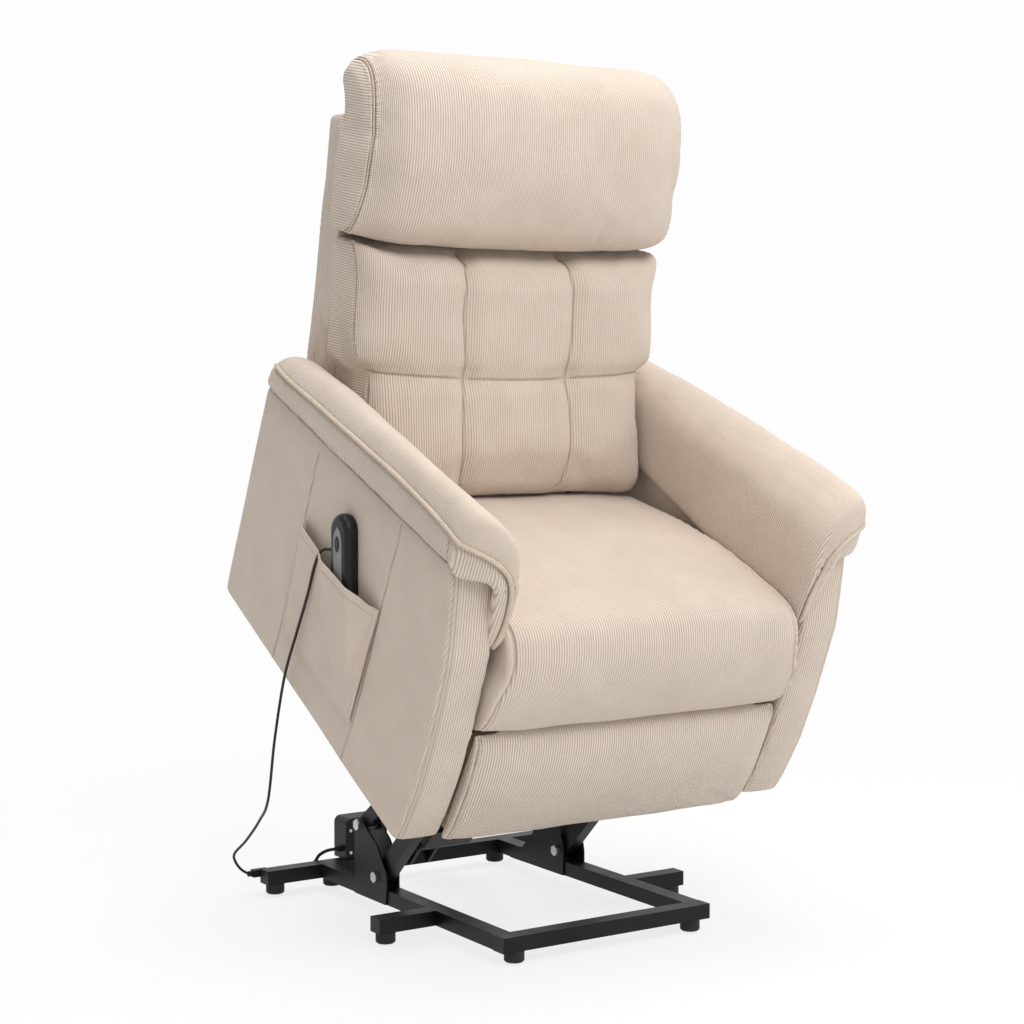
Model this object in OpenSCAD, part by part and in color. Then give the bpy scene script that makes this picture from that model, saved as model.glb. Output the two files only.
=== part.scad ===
// Lift recliner chair, drawn in the raised pose: millimetres, +Z up, front towards -Y.
// The upholstered chair is drawn in its own frame (rearward, upward from the front bottom
// corner of a side panel) and set on the base by on_chair().

/* [Overall] */
// Distance from the middle to the outer face of a side panel
panel_outer = 380; // [374:1:392]
// Thickness of a side panel
panel_thick = 80; // [74:1:84]
// Forward lean of the chair when it is raised, in degrees
raised_tilt = 30; // [28:0.5:31]
// Lean of the back from upright, in degrees
back_lean = 19; // [18:0.5:20]

/* [Base] */
// Width of a base tube
tube_wide = 30; // [28:1:30]
// Height of a base tube
tube_tall = 25; // [22:1:25]
// Wall of a base tube
tube_wall = 2; // [1.5:0.1:2.5]
// Height of a foot under the base tubes
foot_tall = 18.5; // [17:0.5:18.5]
// Radius of a foot
foot_r = 16.5; // [14:0.5:18]
// Length of the base from front to rear
base_long = 635; // [625:5:650]
// Length of the long rear tube
rear_tube_long = 620; // [600:5:625]

/* [Lift linkage] */
// Pivot to pivot length of the front lift link
lift_link_long = 339.3; // [337:0.1:341]
// Upward angle of the front lift link in the raised pose, in degrees
lift_link_angle = 44; // [43.5:0.1:44.5]
// Radius of the pivot bolts and pins
pin_r = 6; // [5:0.5:6.5]
// Radial running clearance of a pin in its bore
running_gap = 0.05; // [0.02:0.01:0.1]

/* [Soft parts] */
// Height of the seat's crown above its side edges
seat_crown = 13; // [4:1:16]
// Depth of the seams drawn into the back cushion
seam_deep = 9; // [3:1:12]
// Half width of the head pillow
pillow_half = 318; // [306:1:324]
// Overhang of an arm pad outside the side panel
pad_overhang = 12; // [9:1:15]

/* [Handset and cord] */
// Width of the handset
handset_wide = 48; // [44:1:52]
// Length of the handset
handset_long = 170; // [160:1:180]
// Thickness of the handset
handset_thick = 24; // [22:0.5:24]
// Radius of the handset cord
cord_r = 2.4; // [2:0.1:2.5]

/* [Hidden] */

$fn = 48;
eps = 0.01;
seat_gap = 0.3;

// Colours
steel_black = [0.07, 0.07, 0.075];
bolt_bright = [0.72, 0.72, 0.70];
plastic_black = [0.04, 0.04, 0.045];
rod_bright = [0.78, 0.78, 0.80];
cloth_cream = [0.86, 0.80, 0.68];
wood_pale = [0.74, 0.60, 0.42];
handset_grey = [0.45, 0.46, 0.48];

// Base tubes
tube_low = foot_tall;
tube_top = foot_tall + tube_tall;
rail_outer = 203.3;
rail_inner = rail_outer - tube_wide;
front_tube_y = -317.5;
rear_tube_y = front_tube_y + base_long - tube_wide;
rear_tube_half = rear_tube_long / 2;
outrigger_y = -109.5;
cap_thick = 2;
outrigger_x = rear_tube_half - cap_thick;
cap_plug = 10;
plate_thick = 3;
inner_foot_x = 175;
outer_foot_x = rear_tube_half - 20;

// Base pivots: front lift link and rear link
pivot_1 = [86, 61];
pivot_2 = [147, 141];
boss_r = 14;
bolt_head_r = 10;
bolt_head_thick = 5.5;
spacer_r = 9;
side_play = 0.15;

// Chair frame: pivots of the two lift links, as rearward and upward distances
link_pin_a = [146.8, 16.5];
link_pin_b = [189, 57];
function turn(p, a) = [p[0] * cos(a) - p[1] * sin(a), p[0] * sin(a) + p[1] * cos(a)];
function polar(r, a) = [r * cos(a), r * sin(a)];
function angle_of(p) = atan2(p[1], p[0]);
raised_a = pivot_1 + polar(lift_link_long, 180 - lift_link_angle);
chair_at = raised_a - turn(link_pin_a, raised_tilt);
function in_world(p) = chair_at + turn(p, raised_tilt);
raised_b = in_world(link_pin_b);
rear_link_long = norm(raised_b - pivot_2);
rear_link_turn = angle_of(raised_b - pivot_2);

// Links
link_in = 177;
link_out = 199;
link_wall = 3;
lift_link_deep = 31;
rear_link_deep = 26;
cross_tube_r = 12.5;
lift_cross_at = 200;
open_hole_r = pin_r + 3.5;

// Lift motor: base pivot, chair pivot and build along its own axis
motor_pivot = [rear_tube_y - 25.5, 62];
lift_lug = [260, 112];
lift_tube_at = [268, 172];
lug_r = 13;
raised_lug = in_world(lift_lug);
lift_motor_long = norm(raised_lug - motor_pivot);
lift_motor_turn = angle_of(raised_lug - motor_pivot);
lift_case_end = 355;
lift_rod_start = 262;
lift_case_r = 19;
lift_rod_r = 10;
lift_throat = 37;
lift_fork_clear = 5.5;
lift_fork_wall = 6;
lift_fork_high = 11;
case_start = 20;
gear_end = 70;
gear_half = 24;
motor_r = 21;
motor_side = 50;
motor_end = 165;
lug_in = 16;
lug_out = 22;

// Steel side plates of the chair
side_in = 214;
side_out = 218;
frame_tube = 25;
frame_tube_wall = 2;
frame_tube_w = 160;
frame_tube_rear = [345, 470, 560];
inner_half = panel_outer - panel_thick;
hinge_at = [598, 212];
hinge_r = 12;

// Footrest linkage, as rearward and upward distances in the chair frame
foot_f1 = [185.1, 171.8];
foot_f2 = [223.8, 151.1];
drive_angle = -53.6;
swing_angle = 154.8;
foot_x = foot_f1 + polar(144.1, drive_angle);
foot_p = foot_f1 + polar(193.9, drive_angle);
foot_q = foot_f2 + polar(145.8, -52.4);
foot_o1 = foot_x + polar(260.4, swing_angle);
foot_o2 = [62.8, 115.1];
foot_pin_r = 5;
foot_bar_r = 10;
foot_end_r = 12;
rivet_r = 8;
rivet_thick = 1.2;
bar_thick = 4;
layer_b = 219.5;
layer_a = 225;
layer_c = 230.5;
layer_d = 236;
layer_flange = 241.5;
layer_air = 1.5;
drive_tube_r = 11;

// Recline motor
recline_x = -80;
recline_pivot = [520, 90];
crank_pin = [216, 147];
crank_half = 3;
recline_case_end = 218;
recline_rod_start = 130;
recline_case_r = 15;
recline_rod_r = 7;
recline_throat = 30;
recline_fork_clear = 4.5;
recline_fork_wall = 5;
recline_fork_high = 9;
recline_long = norm(crank_pin - recline_pivot);
recline_turn = angle_of(crank_pin - recline_pivot);

// Seat frame
rail_low = frame_tube_w + frame_tube + 1;
rail_high = rail_low + 18;
spring_wire = 4.2;
spring_pitch = 40;
spring_sway = 20;
seat_half = inner_half - 18;
seat_flare = 15;
seat_low = rail_high + spring_wire + seat_gap;
seat_centre = 260;

// Back, in its own frame: depth behind the hinge plane's origin and height up the back
shell_front = 496;
shell_rear = 550.6;
shell_spread = 24;
shell_low = 390;
shell_top = 1060;
shell_widens = 688;
shell_half_low = inner_half - 22;
shell_half_high = inner_half - 4;
back_seam_x = 105;
back_seam_s = 652;
cushion_half_low = inner_half - 21;
cushion_half_high = inner_half + 5;

// Footrest panel
foot_half = inner_half - 8;
board_half = inner_half - 15;
board_front = 8;
board_rear = 20;

// Arm pads
pad_inner = inner_half - 17;
pad_outer = panel_outer + pad_overhang;
pad_slope = 0.1122;
pad_skirt = 336;

// Handset, hanging upright in the pocket in the raised pose
handset_at = [276, 221.8];
handset_x = panel_outer + seat_gap;
handset_corner = 8;
panel_proud = 1;
rocker_deep = 3.2;
rocker_circle_r = 15;
rocker_circle_off = 9;
rocker_axle_r = 1.6;
lift_rocker_up = 122;
recline_rocker_up = 46;

// Control box on the rear tube, and the plug of the handset cord beside it
box_right = -151;
box_left = -65;
box_front = rear_tube_y + 6.5;
box_rear = rear_tube_y + 50.5;
box_top = 118;
box_step = 76;
box_step_x = -104;
gland_y = box_front + 16;
gland_long = 11;
plug_end = -333;
plug_y = rear_tube_y + tube_wide + 6.7;

// Handset cord: centre line in the raised pose
cord_x = panel_outer + 13.6 + cord_r * 2.5;
cord_sides = 8;
cord_steps = 5;
cord_route = [
    [-handset_x - handset_thick / 2, -124.5, 650],
    [-394, -110, 650],
    [-cord_x, -86, 646],
    [-cord_x - 2, -66, 620],
    [-cord_x - 2, -42, 572],
    [-cord_x, 1, 506],
    [-cord_x, 46, 427],
    [-396, 90, 317],
    [-384, 140, 206],
    [-367, 208, 156],
    [-360, 275, 108],
    [-361, plug_y - 6.2, 78],
    [-356, plug_y + 5.8, 62],
    [-347, plug_y + 1.3, 46],
    [plug_end - seat_gap, plug_y, 36],
];
lead_r = 3;
lead_route = [
    [plug_end + 45 + seat_gap, plug_y, 34],
    [-270, plug_y - 0.2, 32],
    [-235, plug_y - 0.7, 32],
    [box_right - 52, plug_y - 0.2, 38],
    [box_right - 40, plug_y - 3, 52],
    [box_right - 30, gland_y + 3, 60],
    [box_right - 18, gland_y, 62],
    [box_right - gland_long - seat_gap, gland_y, 62],
];

// ---------- helpers ----------

module pair() {
    children();
    mirror([1, 0, 0]) children();
}

// Places children drawn in the chair frame
module on_chair() {
    translate([0, chair_at[0], chair_at[1]]) rotate([raised_tilt, 0, 0]) children();
}

// Places children drawn in the back's frame
module on_back() {
    on_chair() rotate([-back_lean, 0, 0]) children();
}

// Turns a flat outline in (rearward, upward) into a plate between two x values
module plate(x0, x1) {
    translate([x0, 0, 0]) rotate([90, 0, 90]) linear_extrude(x1 - x0) children();
}

module box(x0, x1, y0, y1, z0, z1) {
    translate([x0, y0, z0]) cube([x1 - x0, y1 - y0, z1 - z0]);
}

// Round rod along X centred on a (rearward, upward) point
module rod(p, r, x0, x1, sides = 48) {
    translate([x0, p[0], p[1]]) rotate([0, 90, 0]) cylinder(r = r, h = x1 - x0, $fn = sides);
}

module dot(p, r) {
    translate(p) circle(r = r);
}

// Flat bar outline with round ends
module bar(p, q, r_end, r_mid) {
    along = (q - p) / norm(q - p);
    across = [-along[1], along[0]] * r_mid;
    dot(p, r_end);
    dot(q, r_end);
    polygon([p - across, q - across, q + across, p + across]);
}

// Points along a smooth curve through a list of points
function blend(a, b, c, d, t) = 0.5 * (
    2 * b + (c - a) * t + (2 * a - 5 * b + 4 * c - d) * t * t
    + (3 * b - a - 3 * c + d) * t * t * t);
function curve(pts, steps) = let (last = len(pts) - 1) concat(
    [for (i = [0 : last - 1], k = [0 : steps - 1])
        blend(pts[max(i - 1, 0)], pts[i], pts[i + 1], pts[min(i + 2, last)], k / steps)],
    [pts[last]]);

function middle(ring) = [for (p = ring) 1] * ring / len(ring);
function flat_list(rings) = [for (ring = rings) each ring];
function side_faces(n, m) = concat(
    [for (i = [0 : n - 2], j = [0 : m - 1])
        [i * m + j, (i + 1) * m + (j + 1) % m, i * m + (j + 1) % m]],
    [for (i = [0 : n - 2], j = [0 : m - 1])
        [i * m + j, (i + 1) * m + j, (i + 1) * m + (j + 1) % m]]);
function fan_faces(n, m) = concat(
    [for (j = [0 : m - 1]) [n * m, j, (j + 1) % m]],
    [for (j = [0 : m - 1]) [n * m + 1, (n - 1) * m + (j + 1) % m, (n - 1) * m + j]]);
function strip_faces(n, m) = let (
        half = ceil(m / 2) - 2,
        top = (n - 1) * m)
    concat(
        [for (i = [0 : half]) [i, i + 1, m - 1 - i]],
        [for (i = [0 : half]) if (i + 1 != m - 2 - i) [i + 1, m - 2 - i, m - 1 - i]],
        [for (i = [0 : half]) [top + i, top + m - 1 - i, top + i + 1]],
        [for (i = [0 : half]) if (i + 1 != m - 2 - i)
            [top + i + 1, top + m - 1 - i, top + m - 2 - i]]);

// Closed skin through a list of rings, each with the same number of points
module loft(rings) {
    n = len(rings);
    m = len(rings[0]);
    points = concat(flat_list(rings), [middle(rings[0]), middle(rings[n - 1])]);
    polyhedron(points, concat(side_faces(n, m), fan_faces(n, m)), convexity = 6);
}

// The same with ends that run straight across from the ring's first half to its second
module loft_straight_ends(rings) {
    n = len(rings);
    m = len(rings[0]);
    polyhedron(flat_list(rings), concat(side_faces(n, m), strip_faces(n, m)), convexity = 6);
}

function unit(v) = v / norm(v);
cord_side = [1, 0.3, 0.8];

// Round cord along a route
module cord(route, r, steps) {
    path = curve(route, steps);
    last = len(path) - 1;
    rings = [for (i = [0 : last]) let (
            ahead = unit(path[min(i + 1, last)] - path[max(i - 1, 0)]),
            side = unit(cross(cord_side, ahead)),
            up = cross(ahead, side))
        [for (k = [0 : cord_sides - 1]) let (a = 360 * k / cord_sides)
            path[i] + r * (cos(a) * side + sin(a) * up)]];
    loft(rings);
}

// Smooth valley or ridge of unit height
function bump(x, c, w) = exp(-pow((x - c) / w, 2));

// Stations from one side to the other, closer together at the sides
function stations(half, count) =
    [for (i = [0 : count]) let (t = 2 * i / count - 1) half * sin(90 * t)];

// ---------- base ----------

module tube_y(x0, x1, y0, y1) {
    difference() {
        box(x0, x1, y0, y1, tube_low, tube_top);
        box(x0 + tube_wall, x1 - tube_wall, y0 - 1, y1 + 1,
            tube_low + tube_wall, tube_top - tube_wall);
    }
}

module tube_x(x0, x1, y0) {
    difference() {
        box(x0, x1, y0, y0 + tube_wide, tube_low, tube_top);
        box(x0 - 1, x1 + 1, y0 + tube_wall, y0 + tube_wide - tube_wall,
            tube_low + tube_wall, tube_top - tube_wall);
    }
}

module base_rail_left() {
    color(steel_black) tube_y(rail_inner, rail_outer, front_tube_y + tube_wide, rear_tube_y);
}

module base_rail_right() {
    mirror([1, 0, 0]) base_rail_left();
}

module base_front_tube() {
    color(steel_black) tube_x(-rail_outer, rail_outer, front_tube_y);
}

module base_rear_tube() {
    color(steel_black) tube_x(-rear_tube_half, rear_tube_half, rear_tube_y);
}

module outrigger_left() {
    color(steel_black) tube_x(rail_outer, outrigger_x, outrigger_y);
}

module outrigger_right() {
    mirror([1, 0, 0]) outrigger_left();
}

module tube_end_cap(x, y) {
    box(x, x + cap_thick, y, y + tube_wide, tube_low, tube_top);
    box(x - cap_plug, x + eps, y + tube_wall + side_play, y + tube_wide - tube_wall - side_play,
        tube_low + tube_wall + side_play, tube_top - tube_wall - side_play);
}

module tube_end_caps() {
    color(plastic_black) pair() {
        tube_end_cap(rail_outer, front_tube_y);
        tube_end_cap(rear_tube_half, rear_tube_y);
        tube_end_cap(outrigger_x, outrigger_y);
    }
}

module foot(x, y) {
    translate([x, y, 0]) rotate_extrude() polygon([
        [0, 0], [foot_r - 2.5, 0], [foot_r, 2.5], [foot_r, foot_tall - 1],
        [foot_r - 1, foot_tall], [0, foot_tall]]);
}

module feet() {
    color(plastic_black) pair() {
        foot(inner_foot_x, front_tube_y + tube_wide / 2);
        foot(outer_foot_x, outrigger_y + tube_wide / 2);
        foot(inner_foot_x, rear_tube_y + tube_wide / 2);
        foot(outer_foot_x, rear_tube_y + tube_wide / 2);
    }
}

module pivot_holes() {
    dot(pivot_1, pin_r + running_gap);
    dot(pivot_2, pin_r + running_gap);
}

module bracket_outer_left() {
    color(steel_black) plate(rail_outer, rail_outer + plate_thick) difference() {
        union() {
            polygon([[53, tube_low], [161, tube_low], [161, 141], [140, 153], [83, 117],
                [64, 91.5], [52, 76], [49, 62.5], [49, 40]]);
            dot(pivot_2, boss_r);
        }
        pivot_holes();
    }
}

module bracket_outer_right() {
    mirror([1, 0, 0]) bracket_outer_left();
}

module bracket_inner_left() {
    color(steel_black) plate(rail_inner - plate_thick, rail_inner) difference() {
        union() {
            polygon([[66, tube_low], [241, tube_low], [241, 40], [200, 46], [165, 78], [161, 141],
                [140, 153], [96, 121], [74, 92], [66, 76]]);
            dot(pivot_2, boss_r);
        }
        pivot_holes();
    }
}

module bracket_inner_right() {
    mirror([1, 0, 0]) bracket_inner_left();
}

module pivot_bolt(p) {
    rod(p, pin_r, rail_inner - plate_thick - bolt_head_thick, rail_outer + plate_thick + eps);
    rod(p, bolt_head_r, rail_outer + plate_thick, rail_outer + plate_thick + bolt_head_thick, 6);
    rod(p, bolt_head_r, rail_inner - plate_thick - bolt_head_thick - 1,
        rail_inner - plate_thick, 6);
    rod(p, spacer_r, rail_inner, link_in - side_play);
    rod(p, spacer_r, link_out + side_play, rail_outer);
}

module base_pivot_bolts() {
    color(bolt_bright) pair() {
        pivot_bolt(pivot_1);
        pivot_bolt(pivot_2);
    }
}

// Two ears on the rear tube that hold the foot of the lift motor on a bolt
module lift_motor_lugs() {
    color(steel_black) {
        pair() plate(lug_in, lug_out) union() {
            dot(motor_pivot, lug_r);
            polygon([[rear_tube_y, tube_low], [rear_tube_y, tube_top], motor_pivot + [9, 9],
                motor_pivot + [-10, -8], motor_pivot + [-4, -13]]);
        }
        rod(motor_pivot, pin_r, -lug_out - bolt_head_thick, lug_out + bolt_head_thick);
        rod(motor_pivot, bolt_head_r, lug_out - eps, lug_out + bolt_head_thick, 6);
        rod(motor_pivot, bolt_head_r, -lug_out - bolt_head_thick, -lug_out + eps, 6);
    }
}

module control_box() {
    round_r = 12;
    color(plastic_black) translate([0, box_rear, 0]) rotate([90, 0, 0])
        linear_extrude(box_rear - box_front) union() {
            polygon([[box_right, tube_top], [box_step_x, tube_top], [box_step_x + 12, box_step],
                [box_left, box_step], [box_left, box_top], [box_right + round_r, box_top],
                [box_right, box_top - round_r]]);
            dot([box_right + round_r, box_top - round_r], round_r);
        }
}

module control_box_screws() {
    color(bolt_bright) for (p = [[box_right + 10, box_top - 22], [box_left - 11, box_top - 10],
            [box_left - 11, box_step + 10], [box_right + 10, tube_top + 12]])
        translate([p[0], box_front, p[1]]) rotate([90, 0, 0]) cylinder(r = 3, h = 1.2);
}

// Sleeve where the handset lead enters, and the two motor and one mains inlets
module lead_gland() {
    color(plastic_black) {
        translate([box_right - gland_long, gland_y, 62]) rotate([0, 90, 0])
            cylinder(r = 5.5, h = gland_long);
        for (x = [box_right + 14, box_right + 36])
            translate([x, box_rear, 66]) rotate([-90, 0, 0]) cylinder(r = 8, h = 4);
        translate([box_left - 19, box_rear, box_top - 20]) rotate([-90, 0, 0]) cylinder(r = 8, h = 4);
    }
}

module control_lead() {
    color(plastic_black) cord(lead_route, lead_r, 3);
}

// In-line plug held against the rear tube
module cord_connector() {
    color(plastic_black) {
        translate([plug_end, plug_y, 35]) rotate([0, 90, 0]) cylinder(r = 5, h = 8);
        box(plug_end + 8, plug_end + 37, rear_tube_y + tube_wide, rear_tube_y + tube_wide + 13,
            28.5, 41.5);
        translate([plug_end + 36, plug_y, 34]) rotate([0, 90, 0]) cylinder(r = 4.5, h = 9);
    }
}

module handset_cord() {
    color(plastic_black) cord(cord_route, cord_r, cord_steps);
}

// ---------- lift and rear links ----------

// Channel along +Y from the origin, with its web on top
module channel(long, deep, far_hole_r) {
    half = deep / 2;
    for (x = [link_in, link_out - link_wall])
        plate(x, x + link_wall) difference() {
            bar([0, 0], [long, 0], half, half);
            dot([0, 0], pin_r + running_gap);
            dot([long, 0], far_hole_r);
        }
    box(link_in, link_out, 0, long, half - link_wall, half);
}

module lift_link_left() {
    color(steel_black) translate([0, pivot_1[0], pivot_1[1]])
        rotate([180 - lift_link_angle, 0, 0])
            channel(lift_link_long, lift_link_deep, pin_r + running_gap);
}

module lift_link_right() {
    mirror([1, 0, 0]) lift_link_left();
}

module lift_cross_tube() {
    at = pivot_1 + polar(lift_cross_at, 180 - lift_link_angle);
    color(steel_black) rod(at, cross_tube_r, -link_in, link_in);
}

module rear_link_left() {
    color(steel_black) translate([0, pivot_2[0], pivot_2[1]]) rotate([rear_link_turn, 0, 0])
        mirror([0, 0, 1]) channel(rear_link_long, rear_link_deep, open_hole_r);
}

module rear_link_right() {
    mirror([1, 0, 0]) rear_link_left();
}

// ---------- motors, each drawn along +Y from its foot pivot ----------

module motor_case(case_end, case_r, rod_r, bore_start, side) {
    eye_half = lug_in - side_play;
    difference() {
        union() {
            plate(-eye_half, eye_half) difference() {
                union() {
                    dot([0, 0], lug_r - 1);
                    polygon([[0, -lug_r + 1], [case_start + eps, -lug_r + 1],
                        [case_start + eps, lug_r - 1], [0, lug_r - 1]]);
                }
                dot([0, 0], pin_r + running_gap);
            }
            box(side > 0 ? -gear_half : -gear_half - motor_side, side > 0 ?
                gear_half + motor_side : gear_half, case_start, gear_end, -gear_half, gear_half);
            translate([0, gear_end - eps, 0]) rotate([-90, 0, 0])
                cylinder(r = case_r, h = case_end - gear_end);
            translate([side * motor_side, gear_end - eps, 0]) rotate([-90, 0, 0])
                cylinder(r = motor_r, h = motor_end - gear_end);
        }
        translate([0, bore_start, 0]) rotate([-90, 0, 0])
            cylinder(r = rod_r + running_gap, h = case_end - bore_start + 1);
    }
}

module motor_rod(start, long, rod_r, throat, clear, wall, high) {
    neck = 10;
    translate([0, start, 0]) rotate([-90, 0, 0])
        cylinder(r = rod_r, h = long - start - throat - neck / 2);
    box(-clear - wall, clear + wall, long - throat - neck, long - throat, -high + 1, high - 1);
    pair() plate(clear, clear + wall) union() {
        dot([long, 0], high);
        polygon([[long - throat - neck, 1 - high], [long, -high], [long, high],
            [long - throat - neck, high - 1]]);
    }
    pair() rod([long, 0], high - 2, clear + wall - eps, clear + wall + 3.5);
}

module at_lift_motor() {
    translate([0, motor_pivot[0], motor_pivot[1]]) rotate([lift_motor_turn, 0, 0])
        mirror([0, 0, 1]) children();
}

module lift_motor() {
    color(plastic_black) at_lift_motor()
        motor_case(lift_case_end, lift_case_r, lift_rod_r, 140, 1);
}

module lift_rod() {
    color(rod_bright) at_lift_motor() motor_rod(lift_rod_start, lift_motor_long, lift_rod_r,
        lift_throat, lift_fork_clear, lift_fork_wall, lift_fork_high);
}

module at_recline_motor() {
    on_chair() translate([recline_x, recline_pivot[0], recline_pivot[1]])
        rotate([recline_turn, 0, 0]) mirror([0, 0, 1]) children();
}

module recline_motor() {
    color(plastic_black) at_recline_motor()
        motor_case(recline_case_end, recline_case_r, recline_rod_r, 90, -1);
}

module recline_rod() {
    color(rod_bright) at_recline_motor() motor_rod(recline_rod_start, recline_long,
        recline_rod_r, recline_throat, recline_fork_clear, recline_fork_wall,
        recline_fork_high);
}

// ---------- steel frame of the chair ----------

module frame_square(u) {
    polygon([[u, frame_tube_w], [u + frame_tube, frame_tube_w],
        [u + frame_tube, frame_tube_w + frame_tube], [u, frame_tube_w + frame_tube]]);
}

module side_plate_left() {
    color(steel_black) on_chair() plate(side_in, side_out) difference() {
        union() {
            polygon([[128, 8], [138, 2], [158, 2], [208, 44], [262, frame_tube_w - 32],
                [575, frame_tube_w - 14], [588, frame_tube_w + 36], [588, hinge_at[1]],
                [570, rail_low - seat_gap], [160, rail_low - seat_gap], [138, 150], [126, 60]]);
            dot(hinge_at, hinge_r);
        }
        dot(link_pin_a, pin_r + running_gap);
        dot(link_pin_b, pin_r + running_gap);
        dot(foot_f1, drive_tube_r + running_gap);
        dot(foot_f2, foot_pin_r + running_gap);
        dot(hinge_at, pin_r + running_gap);
        for (u = frame_tube_rear) frame_square(u);
    }
}

module side_plate_right() {
    mirror([1, 0, 0]) side_plate_left();
}

// Square tubes from arm to arm, with the ears of the recline motor under the rear one
module cross_tubes() {
    ear = recline_pivot;
    ear_tube = frame_tube_rear[2];
    hollow = frame_tube_wall;
    color(steel_black) on_chair() {
        for (u = frame_tube_rear) difference() {
            plate(-inner_half, inner_half) frame_square(u);
            box(-inner_half - 1, inner_half + 1, u + hollow, u + frame_tube - hollow,
                frame_tube_w + hollow, frame_tube_w + frame_tube - hollow);
        }
        translate([recline_x, 0, 0]) {
            pair() plate(lug_in, lug_out) union() {
                dot(ear, lug_r);
                polygon([ear + [-9, 9], ear + [9, -9], [ear_tube + frame_tube - 2, frame_tube_w + eps],
                    [ear_tube + 2, frame_tube_w + eps]]);
            }
            rod(ear, pin_r, -lug_out - bolt_head_thick, lug_out + bolt_head_thick);
            rod(ear, bolt_head_r, lug_out - eps, lug_out + bolt_head_thick, 6);
            rod(ear, bolt_head_r, -lug_out - bolt_head_thick, -lug_out + eps, 6);
        }
    }
}

module lift_tube() {
    lug_half = 4;
    color(steel_black) on_chair() {
        rod(lift_tube_at, cross_tube_r, -side_in, side_in);
        plate(-lug_half, lug_half) bar(lift_lug, lift_tube_at, lug_r, lug_r - 1);
        rod(lift_lug, 7, -lift_fork_clear + side_play, lift_fork_clear - side_play);
    }
}

module link_pin(p) {
    rod(p, pin_r, link_in - 5, side_out);
    rod(p, spacer_r, link_in - 6, link_in - side_play);
    rod(p, spacer_r + 2, link_out + side_play, side_in);
}

module chair_pins() {
    color(bolt_bright) on_chair() pair() {
        link_pin(link_pin_a);
        link_pin(link_pin_b);
    }
}

// ---------- upholstered arms ----------

module arm_left() {
    color(cloth_cream) on_chair() plate(inner_half, panel_outer) polygon([
        [4, 0], [672, 0], [678, 5], [712, 392], [708, 398.5], [74, 470], [62, 462], [48, 430],
        [15, 340], [-3, 216], [-10, 120], [-6, 40], [-1, 4]]);
}

module arm_right() {
    mirror([1, 0, 0]) arm_left();
}

// Height of the pad's crown along the arm
pad_crown_line = [[20, 462], [28, 500], [36, 538], [44, 556], [57, 566], [72, 569], [94, 570],
    [130, 567], [173, 563], [250, 552], [334, 538], [410, 524], [496, 509], [560, 496],
    [624, 481], [665, 473], [690, 466], [706, 456], [714, 444]];

// Underside of the pad: it follows the panel's front edge, then its top edge
pad_nose = [[20, 400], [28, 415], [36, 432], [44, 446], [57, 462]];
function pad_floor(u) = u < 60 ? lookup(u, pad_nose)
    : 470 - pad_slope * (max(u, 70) - 70) + seat_gap + 0.4;

// One cross section of the pad: share is 0 at the nose and 1 along the body
function pad_ring(u, crown, share) = let (
        floor_w = pad_floor(u),
        inner = pad_inner,
        panel_side = inner_half - seat_gap,
        nose_outer = inner_half + 14,
        outer = nose_outer + share * (pad_outer - nose_outer),
        wide = outer - inner,
        skirt = pad_skirt + (1 - share) * 24,
        drop = floor_w - skirt,
        rise = crown - floor_w)
    [for (p = [
            [inner + 3, skirt], [inner, skirt + 0.15 * drop], [inner, skirt + 0.5 * drop],
            [inner, floor_w - 0.06 * drop], [inner + 3, floor_w + rise * 0.34],
            [inner + 0.10 * wide, floor_w + rise * 0.62],
            [inner + 0.26 * wide, floor_w + rise * 0.85],
            [inner + 0.50 * wide, floor_w + rise * 0.98], [inner + 0.70 * wide, crown],
            [inner + 0.87 * wide, floor_w + rise * 0.84],
            [outer - 2, floor_w + rise * 0.56], [outer - 4, floor_w + rise * 0.36],
            [outer, floor_w + rise * 0.18], [outer - 1, floor_w + 4], [outer - 4, floor_w],
            [panel_side + 6, floor_w], [panel_side, floor_w],
            [panel_side, skirt + 0.5 * drop], [panel_side, skirt]])
        [p[0], u, p[1]]];

function pad_share(u) = u < 60 ? sin(90 * max(0, u - 24) / 36)
    : u > 668 ? 0.86 + 0.14 * cos(90 * (u - 668) / 46) : 1;

module arm_pad_left() {
    color(cloth_cream) on_chair() loft([for (p = pad_crown_line)
        pad_ring(p[0], p[1], pad_share(p[0]))]);
}

module arm_pad_right() {
    mirror([1, 0, 0]) arm_pad_left();
}

// ---------- seat ----------

module seat_end_rails() {
    color(wood_pale) on_chair() {
        box(-inner_half, inner_half, 26, 64, rail_low, rail_high);
        box(-inner_half, inner_half, 510, 556, rail_low, rail_high);
    }
}

module seat_side_rails() {
    color(wood_pale) on_chair() pair() {
        box(186, 226, 64, 510, rail_low, rail_high);
        box(inner_half - 36, inner_half, 64, 510, rail_low, rail_high);
    }
}

// Wavy wires from the front rail to the rear rail
module seat_springs() {
    half = spring_wire / 2;
    wires = [-140, -70, 0, 70, 140];
    turns = 12;
    color(steel_black) on_chair() translate([0, 0, rail_high]) linear_extrude(spring_wire)
        for (x = wires) union() {
            for (k = [0 : turns - 1]) let (y = 44 + k * spring_pitch, way = k % 2 == 0 ? 1 : -1) {
                translate([x - spring_sway, y - half])
                    square([2 * spring_sway, spring_wire]);
                translate([x + way * spring_sway - half, y - half])
                    square([spring_wire, spring_pitch + spring_wire]);
            }
            translate([x - spring_sway, 44 + turns * spring_pitch - half])
                square([2 * spring_sway, spring_wire]);
        }
}

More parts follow.
